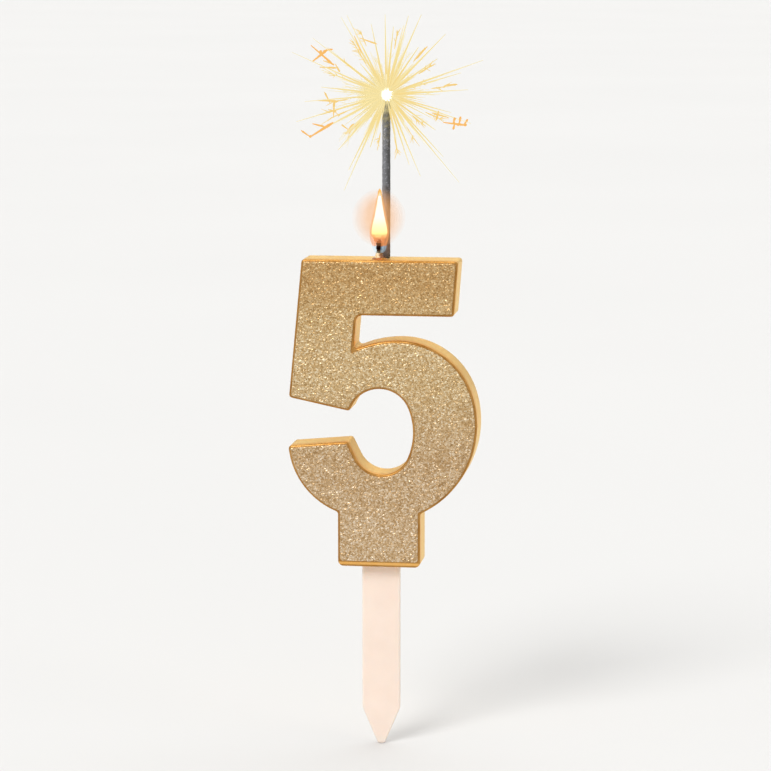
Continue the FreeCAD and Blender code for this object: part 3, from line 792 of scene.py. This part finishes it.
# ------------------------------------------------------------------- pick
def moulded_pick():
    """The pick as it leaves the mould: soft edges, a parting line round its
    edge, sunk faces and the round marks of two ejector pins on its back."""
    lo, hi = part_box("pick")
    loop = resample(ring_loop(NODES["pick"], lo.y, flat=True), 0.36 * MM)
    nrm = loop_normals(loop)
    n = len(loop)
    half = []
    for k in range(6):
        a = math.radians(18 * k)
        half.append((0.30 * math.sin(a) * MM, lo.y + 0.30 * (1 - math.cos(a)) * MM))
    mid = (lo.y + hi.y) / 2
    line = [(0.30 * MM, mid - 0.07 * MM), (0.332 * MM, mid - 0.03 * MM), (0.332 * MM, mid + 0.03 * MM), (0.30 * MM, mid + 0.07 * MM)]
    profile = half + line + [(d, 2 * mid - y) for d, y in half[::-1]]
    verts, faces = [], []
    for d, y in profile:
        for (x, z), (nx, nz) in zip(loop, nrm):
            verts.append((min(max(x + nx * d, lo.x - 0.03 * MM), hi.x + 0.03 * MM), y, max(z + nz * d, lo.z)))
    m = len(profile)
    for k in range(m - 1):
        for i in range(n):
            j = (i + 1) % n
            faces.append((k * n + i, k * n + j, (k + 1) * n + j, (k + 1) * n + i))
    pts = interior(loop, 0.46 * MM, 0.24 * MM, 31, jitter=0.08)

    def edge_gap(x, z):
        return min(hi.x - 0.3 * MM - abs(x), z - lo.z, 1.6 * MM)

    for side, first in ((-1, 0), (1, (m - 1) * n)):
        base = len(verts)
        for x, z in pts:
            sink = 0.030 * max(0.0, min(1.0, edge_gap(x, z) / (1.5 * MM))) * (1 + 0.5 * wave(x, side * 3.0 * MM, z, 6 * MM))
            if side > 0:
                for pz in (-9.0, -29.0):
                    r = math.hypot(x, z - pz * MM) / MM
                    sink += 0.09 * max(0.0, min(1.0, (1.75 - r) / 0.25)) - 0.03 * max(0.0, 1.0 - abs(r - 1.95) / 0.28)
            y = (lo.y if side < 0 else hi.y) - side * sink * MM
            verts.append((x, y, z))
        for f in fill(loop, pts):
            faces.append([first + i if i < n else base + i - n for i in f])
    ob = outward(mesh_object("moulded_pick", verts, faces))
    sharp_by_angle(ob, 50)
    paint(ob, MAT["plastic"])
    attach(ob, "pick")
    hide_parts("pick")
    return ob


# --------------------------------------------------------------- sparkler
def sparkler_coat():
    lo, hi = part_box("sparkler_composition")
    cx, cy = (lo.x + hi.x) / 2, (lo.y + hi.y) / 2
    z0, z1 = lo.z - 0.42 * MM, hi.z
    seg, step = 64, 0.105 * MM
    rows = int((z1 - z0) / step)
    verts, faces = [], []
    rw = 0.5 * MM

    def radius(z):
        t = (z - z0) / (0.5 * MM)
        r = 0.86 + 0.12 * min(1.0, max(0.0, t)) ** 0.6
        return r * MM

    zs = [z0 + (z1 - z0) * i / rows for i in range(rows + 1)]
    ring_list = [(rw, z0)] + [(radius(z), z) for z in zs] + [(rw, z1)]
    for r, z in ring_list:
        for k in range(seg):
            an = 2 * math.pi * k / seg
            c, s = math.cos(an), math.sin(an)
            rr = r
            if r > rw * 1.05:
                p = Vector((c * r, s * r, z))
                grain = noise.noise(p / (0.22 * MM))
                lump = noise.noise(p / (0.75 * MM) + Vector((7, 3, 1)))
                slow = noise.noise(Vector((0.2, 0.4, z / (5.5 * MM))))
                near_top = max(0.0, (z - (z1 - 5 * MM)) / (5 * MM))
                pit = max(0.0, noise.noise(p / (0.55 * MM) + Vector((2, 9, 4))) - 0.15) * near_top
                rr = r + (0.030 * grain + 0.035 * lump + 0.03 * slow - 0.35 * pit) * MM
                rr = min(rr, 1.06 * MM)
            verts.append((cx + rr * c, cy + rr * s, z))
    m = len(ring_list)
    for i in range(m):
        i2 = (i + 1) % m
        for k in range(seg):
            j = (k + 1) % seg
            faces.append((i * seg + k, i * seg + j, i2 * seg + j, i2 * seg + k))
    ob = outward(mesh_object("sparkler_grit_coat", verts, faces))
    paint(ob, MAT["composition"])
    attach(ob, "sparkler")
    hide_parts("sparkler_composition")


def glow(name, color, strength=1.0, alpha=None):
    m = Mat(name)
    m.emission(color, strength, alpha)
    return m


def effect(ob, mat, body):
    """A flame or spark: gives light, throws no shadow."""
    paint(ob, mat)
    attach(ob, body)
    ob.visible_shadow = False
    ob.visible_diffuse = False
    return ob


def ball(cx, cy, cz, rx, ry, rz, seg=40, rings=24, lump=0.0, seed=0.0):
    verts, faces = [], []
    verts.append((cx, cy, cz - rz))
    for i in range(1, rings):
        ph = math.pi * i / rings
        for k in range(seg):
            an = 2 * math.pi * k / seg
            d = Vector((math.sin(ph) * math.cos(an), math.sin(ph) * math.sin(an), -math.cos(ph)))
            w = 1 + lump * noise.noise(d * 2.1 + Vector((seed, 0, 0)))
            verts.append((cx + rx * d.x * w, cy + ry * d.y * w, cz + rz * d.z * w))
    verts.append((cx, cy, cz + rz))
    for k in range(seg):
        faces.append((0, 1 + (k + 1) % seg, 1 + k))
    for i in range(rings - 2):
        for k in range(seg):
            j = (k + 1) % seg
            a = 1 + i * seg
            faces.append((a + k, a + j, a + seg + j, a + seg + k))
    last = 1 + (rings - 2) * seg
    top = len(verts) - 1
    for k in range(seg):
        faces.append((last + k, last + (k + 1) % seg, top))
    return verts, faces


def spike(b, p0, p1, w0, w1, bow=0.0, sides=4, steps=5, blunt=0.35):
    """A thin tapered ray from p0 to p1, thickest a little way out."""
    p0, p1 = Vector(p0), Vector(p1)
    d = p1 - p0
    t = d.normalized()
    a = t.cross(Vector((0.31, 0.77, 0.56))).normalized()
    c = t.cross(a)
    verts, faces = [], []
    for i in range(steps + 1):
        u = i / steps
        q = p0 + d * u + Vector((0, 0, -bow * u * u))
        w = w0 * (blunt + (1 - blunt) * math.sin(min(1.0, u / 0.25) * math.pi / 2)) * (1 - u) + w1 * u
        for k in range(sides):
            an = 2 * math.pi * k / sides
            verts.append(q + a * (w * math.cos(an)) + c * (w * math.sin(an)))
    for i in range(steps):
        for k in range(sides):
            j = (k + 1) % sides
            faces.append((i * sides + k, i * sides + j, (i + 1) * sides + j, (i + 1) * sides + k))
    faces.append(list(range(sides))[::-1])
    faces.append([steps * sides + k for k in range(sides)])
    b.add(verts, faces)


def sparks():
    lo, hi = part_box("sparkler_ember")
    C = Vector(((lo.x + hi.x) / 2, (lo.y + hi.y) / 2, 114.3 * MM))
    S = 0.4545 * MM                  # one unit of the spark chart
    top_limit = hi.z + 17.4 * MM
    rnd = random.Random(21)

    # the burning bead, and the wire's glowing tip above it
    v, f = ball(C.x + 0.28 * MM, C.y, C.z + 0.02 * MM, 1.46 * MM, 1.46 * MM, 1.72 * MM, lump=0.06)
    bead = outward(mesh_object("ember_bead", v, f))
    effect(bead, glow("ember_white", rgb(255, 253, 246), 2.2), "sparkler")
    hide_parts("sparkler_ember")
    wlo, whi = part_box("sparkler_wire")
    b = Builder()
    spike(b, (C.x, C.y, C.z + 0.2 * MM), (C.x, C.y, whi.z + 0.15 * MM), 0.50 * MM, 0.10 * MM, sides=12, steps=10, blunt=0.98)
    tip = outward(b.make("wire_hot_tip"))
    effect(tip, glow("wire_white_hot", rgb(253, 243, 206), 1.1), "sparkler")
    seg = 28
    rings = [(0.36, wlo.z), (0.47, wlo.z + 0.05 * MM), (0.5, wlo.z + 0.16 * MM)]
    rings += [(0.5, wlo.z + 0.16 * MM + (C.z - wlo.z) * k / 60) for k in range(1, 60)] + [(0.44, C.z + 0.4 * MM)]
    vv, ff = [], []
    for r, z in rings:
        for k in range(seg):
            an = 2 * math.pi * k / seg
            draw = 0.006 * noise.noise(Vector((5 * math.cos(an), 5 * math.sin(an), z * 400)))
            vv.append((C.x + (r + draw) * MM * math.cos(an), C.y + (r + draw) * MM * math.sin(an), z))
    for i in range(len(rings) - 1):
        for k in range(seg):
            j = (k + 1) % seg
            ff.append((i * seg + k, i * seg + j, (i + 1) * seg + j, (i + 1) * seg + k))
    ff.append(list(range(seg))[::-1])
    ff.append([(len(rings) - 1) * seg + k for k in range(seg)])
    wire = outward(mesh_object("sparkler_wire_core", vv, ff))
    sharp_by_angle(wire, 40)
    paint(wire, MAT["steel"])
    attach(wire, "sparkler")
    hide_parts("sparkler_wire")

    # rays: their tips on the chart are (across, up) from the bead
    chart = [(-24, 53), (21.5, 51), (-1.4, 45), (-8, 37), (5, 36), (8, 36), (30, 31.5), (17, 25), (27, 19),
             (52.6, 19), (45.5, 4), (35, -9), (44.5, -15), (27.6, -17.5), (37, -47), (19.5, -42), (7, -29),
             (-7, -27), (-26.4, -53), (-27, -30), (-41, -22), (-49, -15), (-41, -3), (-34, 4), (-50.4, 22),
             (-29.5, 25), (-15, 23), (-34, 13), (-37, 30), (-26, 40), (14, 43), (38, 11), (-20, -40), (12, -37), (31, -32)]
    rays = Builder()
    fine = Builder()
    brush = Builder()

    def place(dx, dz, dy):
        p = C + Vector((dx * S, dy, dz * S))
        if p.z > top_limit:
            k = (top_limit - C.z) / (p.z - C.z)
            p = C + (p - C) * k
        return p

    for n, (dx, dz) in enumerate(chart):
        length = math.hypot(dx, dz) * S
        dy = rnd.uniform(-0.42, 0.42) * length
        tip_p = place(dx, dz, dy)
        start = C + (tip_p - C).normalized() * 1.55 * MM
        spike(rays, start, tip_p, 0.35 * MM, 0.08 * MM, bow=0.0)
    # a full ball of medium and short rays
    for n in range(190):
        u = rnd.uniform(-1, 1)
        an = rnd.uniform(0, 2 * math.pi)
        s = math.sqrt(1 - u * u)
        d = Vector((s * math.cos(an), 0.78 * s * math.sin(an), u))
        if d.z < -0.93 or abs(s * math.sin(an)) > 0.80:
            continue
        length = rnd.choice((rnd.uniform(6, 10), rnd.uniform(8, 14), rnd.uniform(10, 17))) * MM
        tip_p = C + d * length
        if tip_p.z > top_limit:
            tip_p = C + (tip_p - C) * ((top_limit - C.z) / (tip_p.z - C.z))
        start = C + d.normalized() * rnd.uniform(1.4, 2.3) * MM
        spike(fine, start, tip_p, rnd.uniform(0.17, 0.28) * MM, 0.04 * MM, bow=rnd.uniform(0, 0.25) * MM)
        if rnd.random() < 0.4:
            q = start.lerp(tip_p, rnd.uniform(0.55, 0.85))
            for _ in range(rnd.randint(1, 3)):
                side = Vector((rnd.uniform(-1, 1), rnd.uniform(-1, 1), rnd.uniform(-1, 1)))
                e = q + ((tip_p - start).normalized() * 1.2 + side * 0.55) * rnd.uniform(0.8, 1.9) * MM
                if e.z < top_limit:
                    spike(fine, q, e, 0.10 * MM, 0.03 * MM, steps=3)
    for n in range(400):
        u = rnd.uniform(-1, 1)
        an = rnd.uniform(0, 2 * math.pi)
        s = math.sqrt(1 - u * u)
        d = Vector((s * math.cos(an), s * math.sin(an), u))
        if d.z < -0.9 or abs(s * math.sin(an)) > 0.72:
            continue
        length = rnd.uniform(2.9, 6.0) * MM
        spike(brush, C + d * 1.35 * MM, C + d * length, rnd.uniform(0.10, 0.16) * MM, 0.03 * MM, steps=3)

    def ray_glow(name, near, mid, far, reach):
        m = Mat(name)
        sub = m.n("ShaderNodeVectorMath", operation="DISTANCE")
        m.link(m.coords(), sub.inputs[0])
        sub.inputs[1].default_value = tuple(C)
        t = m.range(sub.outputs["Value"], 0.0, reach)
        hot = 1.5 * MM / reach
        m.emission(m.ramp(t, [(0.0, rgb(255, 252, 240)), (hot, rgb(255, 250, 228)), (hot + 0.03, near), (0.5, mid), (1.0, far)]), 1.0)
        return m

    a = outward(rays.make("spark_rays", smooth=False))
    effect(a, ray_glow("ray_yellow", rgb(244, 214, 138), rgb(247, 227, 160), rgb(250, 240, 204), 24 * MM), "sparkler")
    a = outward(fine.make("spark_fine_rays", smooth=False))
    effect(a, ray_glow("fine_ray_yellow", rgb(245, 219, 148), rgb(247, 229, 168), rgb(250, 239, 202), 16 * MM), "sparkler")
    a = outward(brush.make("spark_brush", smooth=False))
    effect(a, ray_glow("brush_yellow", rgb(244, 222, 154), rgb(246, 230, 176), rgb(250, 240, 204), 8 * MM), "sparkler")

    # orange branches where sparks burst, drawn on the same chart
    forks = Builder()
    strokes = [
        ((-39, 26), (-27, 15.5), 1.0), ((-40, 17), (-31.6, 23.6), 0.8), ((-34.6, 22.6), (-29.5, 23.4), 0.6),
        ((-41.4, -23), (-28.6, -15), 1.0), ((-39, -15.4), (-32.6, -17), 0.8), ((-40.2, -22.2), (-45, -19), 0.5),
        ((30.5, -14.2), (42.2, -15.6), 1.0), ((35.6, -15), (36.6, -11.6), 0.6), ((38.6, -15.2), (39.4, -11.2), 0.6),
        ((40.8, -15.4), (42.6, -13.0), 0.5), ((37, -15.1), (36.2, -17.6), 0.5),
    ]
    soft = [
        ((-27.5, 16), (-25, 11.6), 1.0), ((-36, 14), (-26.5, 13.8), 1.0), ((-34, 17.6), (-28, 15.6), 0.7), ((-37.4, -3.6), (-26, -3.8), 1.0),
        ((-29.6, -12.2), (-29, -4), 1.0), ((-31, -8), (-26.4, -9.4), 0.8), ((-28.4, -4), (-31.6, 1.6), 0.7), ((-20.6, -18.6), (-24, -16), 0.9),
        ((-14.2, 29.8), (-4.8, 26.6), 0.8), ((-15.6, 31), (-12, 22), 0.8), ((30, 4.6), (37, 5.4), 0.9), ((22, 25.5), (15.5, 18.6), 0.8),
        ((29.2, -7.6), (27.6, -12.6), 0.8), ((33, -12), (24, -9.5), 0.9), ((-22, -21), (-17.5, -15.5), 0.9),
    ]
    for (x0, z0), (x1, z1), w in strokes:
        ymid = rnd.uniform(-4, 4) * MM
        p = C + Vector((x0 * S, ymid, z0 * S))
        q = C + Vector((x1 * S, ymid * 0.8, z1 * S))
        spike(forks, q, p, (0.24 + 0.22 * w) * MM, 0.15 * MM, steps=5)
    gold = Builder()
    for (x0, z0), (x1, z1), w in soft:
        ymid = rnd.uniform(-5, 5) * MM
        p = C + Vector((x0 * S, ymid, z0 * S))
        q = C + Vector((x1 * S, ymid * 0.8, z1 * S))
        spike(gold, q, p, (0.20 + 0.18 * w) * MM, 0.12 * MM, steps=5)
    a = outward(gold.make("spark_soft_forks", smooth=False))
    effect(a, glow("fork_gold", rgb(247, 208, 128), 1.0), "sparkler")
    for dx, dz, r in ((-40.2, -22.2, 0.36), (41.6, -15.6, 0.42), (38.4, -15.2, 0.38), (35.6, -15, 0.26), (-34.4, 22.6, 0.34), (-28.6, -15, 0.2)):
        v, f = ball(C.x + dx * S, C.y + rnd.uniform(-3, 3) * MM, C.z + dz * S, r * MM, r * MM, r * MM, 8, 6)
        forks.add(v, f)
    a = outward(forks.make("spark_orange_forks", smooth=False))
    effect(a, glow("fork_orange", rgb(250, 190, 108), 1.0), "sparkler")

    # golden twigs where the medium sparks break up
    twigs = Builder()
    knots = [(-27, 10, 1.0), (-28, -4, 1.0), (-26, -11, 1.1), (-16, 27, 0.9), (-14, 22, 0.8), (20, -14, 1.0), (27, -12, 1.1), (24, 15, 1.0),
             (17, 22, 0.9), (-19, -19, 0.9), (-21, 18, 0.8), (30, 4, 1.0), (18, 5, 0.8), (6, 31, 0.8), (-6, -27, 0.8), (7, -28, 0.8), (14, -22, 0.8), (-32, -10, 0.9), (-11, 32, 0.8)]
    for dx, dz, size in knots:
        depth = rnd.uniform(-0.55, 0.55) * math.hypot(dx, dz) * S
        q = C + Vector((dx * S, depth, dz * S))
        d = (q - C).normalized()
        spike(twigs, q - d * 3.2 * MM, q + d * 1.6 * MM * size, 0.27 * size * MM, 0.05 * MM, steps=4)
        for _ in range(rnd.randint(5, 8)):
            side = Vector((rnd.uniform(-1, 1), rnd.uniform(-1, 1), rnd.uniform(-1, 1)))
            a0 = q + d * rnd.uniform(-2.0, 0.6) * MM
            e = a0 + (d * rnd.uniform(0.4, 1.3) + side * 0.75) * rnd.uniform(0.8, 2.3) * size * MM
            if e.z < top_limit:
                spike(twigs, a0, e, 0.16 * MM, 0.04 * MM, steps=3)
    a = outward(twigs.make("spark_gold_twigs", smooth=False))
    effect(a, glow("twig_gold", rgb(246, 214, 134), 1.0), "sparkler")

    # painted glow: pale glare shells beside the bead
    for i, (r, al) in enumerate(((5.7, 0.09), (5.0, 0.12), (4.3, 0.15), (3.6, 0.18), (2.9, 0.20), (2.3, 0.22))):
        v, f = ball(C.x - (3.9 - 0.42 * r) * MM, C.y, C.z - 0.2 * MM, r * MM, r * 0.85 * MM, r * MM, 44, 28, lump=0.14, seed=i * 3.0)
        a = outward(mesh_object("spark_glare_%d" % i, v, f))
        effect(a, glow("glare_yellow_%d" % i, rgb(245, 229, 168), 1.0, alpha=al), "sparkler")


# ------------------------------------------------------------------- flame
def lathe(profile, cx, cy, seg=48, lean=0.0, z0=0.0, z1=1.0):
    verts, faces = [], []
    for r, z in profile:
        t = (z - z0) / (z1 - z0)
        ox = lean * t * t
        for k in range(seg):
            an = 2 * math.pi * k / seg
            verts.append((cx + ox + r * math.cos(an), cy + r * math.sin(an), z))
    m = len(profile)
    for i in range(m - 1):
        for k in range(seg):
            j = (k + 1) % seg
            faces.append((i * seg + k, i * seg + j, (i + 1) * seg + j, (i + 1) * seg + k))
    faces.append(list(range(seg))[::-1])
    faces.append([(m - 1) * seg + k for k in range(seg)])
    return verts, faces


def smooth_profile(points, count):
    """A smooth curve through (r, z) points, by Catmull-Rom."""
    p = [points[0]] + list(points) + [points[-1]]
    out = []
    segs = len(points) - 1
    for i in range(count + 1):
        t = i / count * segs
        k = min(int(t), segs - 1)
        u = t - k
        a, b, c, d = p[k], p[k + 1], p[k + 2], p[k + 3]
        row = []
        for j in (0, 1):
            row.append(0.5 * ((2 * b[j]) + (-a[j] + c[j]) * u + (2 * a[j] - 5 * b[j] + 4 * c[j] - d[j]) * u * u + (-a[j] + 3 * b[j] - 3 * c[j] + d[j]) * u ** 3))
        out.append((max(row[0], 0.004 * MM), row[1]))
    return out


def flame():
    lo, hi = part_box("wick_char")
    cx, cy = (lo.x + hi.x) / 2, (lo.y + hi.y) / 2
    base = 75.0 * MM

    def prof(rows, count=40):
        return smooth_profile([(r * MM, base + z * MM) for r, z in rows], count)

    mantle = prof([(0.6, 5.5), (1.9, 5.6), (2.28, 6.0), (2.3, 6.6), (2.12, 8.1), (1.74, 10.1), (1.26, 12.3), (0.80, 14.5), (0.42, 16.0), (0.05, 16.85)], 44)
    core = prof([(0.1, 5.35), (0.58, 5.15), (0.98, 4.85), (1.30, 4.8), (1.60, 5.1), (1.80, 5.8), (1.88, 6.6), (1.73, 7.8), (1.42, 9.2), (1.12, 10.5), (0.77, 12.5), (0.42, 14.5), (0.21, 15.6), (0.03, 16.15)])
    skirt = prof([(0.9, 3.3), (1.62, 3.5), (1.95, 4.2), (2.2, 5.1), (2.26, 5.9), (1.9, 6.3), (0.9, 6.35)], 26)
    cap = prof([(0.25, 3.95), (0.72, 3.9), (1.1, 4.25), (1.36, 4.75), (1.36, 5.15), (0.9, 5.3), (0.4, 5.3)], 22)
    tip = prof([(0.05, 14.9), (0.36, 15.3), (0.48, 15.8), (0.42, 16.3), (0.24, 16.7), (0.04, 16.95)], 20)

    m = Mat("flame_mantle_glow")
    t = m.range(m.axis("Z"), base + 5.4 * MM, base + 16.9 * MM)
    m.emission(m.ramp(t, [(0.0, rgb(249, 160, 96)), (0.2, rgb(252, 176, 108)), (0.6, rgb(253, 186, 120)), (0.9, rgb(250, 184, 92)), (1.0, rgb(248, 172, 70))]), 1.0, alpha=0.36)
    v, f = lathe(mantle, cx, cy, 64, lean=0.12 * MM, z0=base, z1=base + 16.95 * MM)
    effect(outward(mesh_object("flame_mantle", v, f)), m, "numeral")

    m = Mat("flame_core_light")
    t = m.range(m.axis("Z"), base + 4.7 * MM, base + 16.2 * MM)
    m.emission(m.ramp(t, [(0.0, rgb(150, 80, 48)), (0.025, rgb(164, 98, 60)), (0.06, rgb(190, 144, 92)), (0.095, rgb(220, 200, 126)), (0.145, rgb(252, 240, 160)),
                          (0.20, rgb(255, 252, 184)), (0.30, rgb(255, 254, 208)), (0.46, rgb(255, 255, 255)), (0.94, rgb(255, 255, 255)), (1.0, rgb(255, 210, 110))]), 2.1)
    v, f = lathe(core, cx, cy, 64, lean=0.12 * MM, z0=base, z1=base + 16.95 * MM)
    flame_body = effect(outward(mesh_object("flame_core", v, f)), m, "numeral")
    flame_body.visible_diffuse = True              # it warms the wax below it

    for name, shape, colour, al, seg in (("flame_skirt", skirt, rgb(252, 150, 92), 0.09, 56), ("flame_orange_cap", cap, rgb(226, 116, 64), 0.42, 48),
                                         ("flame_tip", tip, rgb(253, 190, 88), 0.55, 24)):
        v, f = lathe(shape, cx + (0.11 * MM if name == "flame_tip" else 0.0), cy, seg)
        effect(outward(mesh_object(name, v, f)), glow(name + "_glow", colour, 1.0, alpha=al), "numeral")

    def petals(name, rows, colour, al):
        """Two crescents, left and right, which leave the wick in view."""
        b = Builder()
        rows = smooth_profile([(r * MM, base + z * MM) for r, z in rows], 22)
        for middle in (0.0, math.pi):
            verts, faces = [], []
            steps = 16
            for r, z in rows:
                for k in range(steps + 1):
                    an = middle + (k / steps - 0.5) * math.radians(140)
                    verts.append((cx + r * math.cos(an), cy + r * math.sin(an), z))
                for k in range(steps - 1, 0, -1):
                    an = middle + (k / steps - 0.5) * math.radians(140)
                    rr = r * (1 - 0.42 * math.sin(math.pi * k / steps))
                    verts.append((cx + rr * math.cos(an), cy + rr * math.sin(an), z))
            n = 2 * steps
            for i in range(len(rows) - 1):
                for k in range(n):
                    j = (k + 1) % n
                    faces.append((i * n + k, i * n + j, (i + 1) * n + j, (i + 1) * n + k))
            faces.append(list(range(n))[::-1])
            faces.append([(len(rows) - 1) * n + k for k in range(n)])
            b.add(verts, faces)
        effect(outward(b.make(name)), glow(name + "_glow", colour, 1.0, alpha=al), "numeral")

    petals("flame_side_glow", [(1.66, 3.15), (1.92, 3.8), (2.12, 4.6), (2.22, 5.2), (2.26, 5.9)], rgb(255, 160, 98), 0.30)
    petals("flame_blue_sides", [(1.02, 1.6), (1.36, 1.95), (1.62, 2.5), (1.74, 2.95), (1.78, 3.14)], rgb(190, 229, 252), 0.17)

    # soft peach glow round the flame, thinner towards its edge
    for i in range(10):
        k = 1 - i / 10
        rx, rz = (2.3 + 4.1 * k) * MM, (3.9 + 2.9 * k) * MM
        v, f = ball(cx - 0.15 * MM, cy, base + 9.9 * MM, rx, rx * 0.85, rz, 56, 36, lump=0.03, seed=i * 1.7)
        a = outward(mesh_object("flame_halo_%d" % i, v, f))
        effect(a, glow("halo_peach_%d" % i, rgb(255, 187, 116), 1.0, alpha=0.034 + 0.026 * (1 - k)), "numeral")


numeral()
coat()
wick()
sleeve_and_pool()
sparkler_coat()
sparks()
flame()
moulded_pick()

# ------------------------------------------------------------ stage, light
def plane(name, size, z):
    s = size / 2
    return mesh_object(name, [(-s, -s, z), (s, -s, z), (s, s, z), (-s, s, z)], [(0, 1, 2, 3)], smooth=False)


ground = plane("studio_floor", 120.0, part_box("pick")[0].z - 0.02 * MM)
mf = Mat("pale_floor")
mf.principled(mf.ramp(mf.noise(3, 2), [(0.3, (0.700, 0.700, 0.700, 1)), (0.7, (0.710, 0.710, 0.710, 1))]), 0.9,
              Specular_IOR_Level=0.1, Emission_Color=(1.0, 1.0, 1.0, 1.0), Emission_Strength=0.0)
paint(ground, mf)

world = bpy.data.worlds.new("studio")
bpy.context.scene.world = world
world.use_nodes = True
wt = world.node_tree
wt.nodes.clear()
wo = wt.nodes.new("ShaderNodeOutputWorld")
bg = wt.nodes.new("ShaderNodeBackground")
tc = wt.nodes.new("ShaderNodeTexCoord")
sep = wt.nodes.new("ShaderNodeSeparateXYZ")
mr = wt.nodes.new("ShaderNodeMapRange")
cr = wt.nodes.new("ShaderNodeValToRGB")
wt.links.new(tc.outputs["Generated"], sep.inputs[0])
wt.links.new(sep.outputs["Z"], mr.inputs["Value"])
mr.inputs["From Min"].default_value = -0.25
mr.inputs["From Max"].default_value = 1.0
wt.links.new(mr.outputs[0], cr.inputs[0])
el = cr.color_ramp.elements
el[0].position, el[0].color = 0.0, (0.70, 0.69, 0.67, 1)
el[1].position, el[1].color = 1.0, (1.0, 1.0, 1.0, 1)
e = el.new(0.2)
e.color = (0.80, 0.785, 0.76, 1)
lp = wt.nodes.new("ShaderNodeLightPath")
mx = wt.nodes.new("ShaderNodeMixShader")
seen = wt.nodes.new("ShaderNodeBackground")
seen.inputs[0].default_value = (0.925, 0.92, 0.905, 1)
bg.inputs[1].default_value = 0.66
wt.links.new(cr.outputs[0], bg.inputs[0])
wt.links.new(lp.outputs["Is Camera Ray"], mx.inputs[0])
wt.links.new(bg.outputs[0], mx.inputs[1])
wt.links.new(seen.outputs[0], mx.inputs[2])
wt.links.new(mx.outputs[0], wo.inputs[0])


def sun(name, azimuth, height, power, spread, color=(1, 1, 1)):
    """A soft distant light; azimuth 0 is the front, 90 the right side."""
    ld = bpy.data.lights.new(name, "SUN")
    ld.energy = power
    ld.angle = math.radians(spread)
    ld.color = color
    ob = bpy.data.objects.new(name, ld)
    bpy.context.scene.collection.objects.link(ob)
    a, h = math.radians(azimuth), math.radians(height)
    way = Vector((math.sin(a) * math.cos(h), -math.cos(a) * math.cos(h), math.sin(h)))
    ob.rotation_euler = (-way).to_track_quat("-Z", "Y").to_euler()
    return ob


sun("key", -24, 38, 1.66, 26, (1.0, 0.99, 0.97))
sun("side", 68, 26, 0.32, 34, (1.0, 0.985, 0.96))
sun("top_back", 165, 64, 1.15, 72, (1.0, 0.99, 0.96))

# ------------------------------------------------------------------ camera
cam_data = bpy.data.cameras.new("camera")
cam = bpy.data.objects.new("camera", cam_data)
bpy.context.scene.collection.objects.link(cam)
target = Vector((0.0010, 0.0, 0.0440))
az, run, rise = math.radians(8.0), 0.7706, 0.1582
cam.location = (run * math.sin(az), -run * math.cos(az), rise)
cam.rotation_euler = (target - cam.location).to_track_quat("-Z", "Y").to_euler()
cam_data.sensor_width = 36.0
cam_data.lens = 36.0 * (target - cam.location).length / 0.187
cam_data.clip_start = 0.01
cam_data.dof.use_dof = False
bpy.context.scene.camera = cam
bpy.context.scene.view_settings.view_transform = "Standard"
bpy.context.scene.view_settings.look = "None"
# the flame and its glow are shells inside shells
bpy.context.scene.cycles.transparent_max_bounces = 64
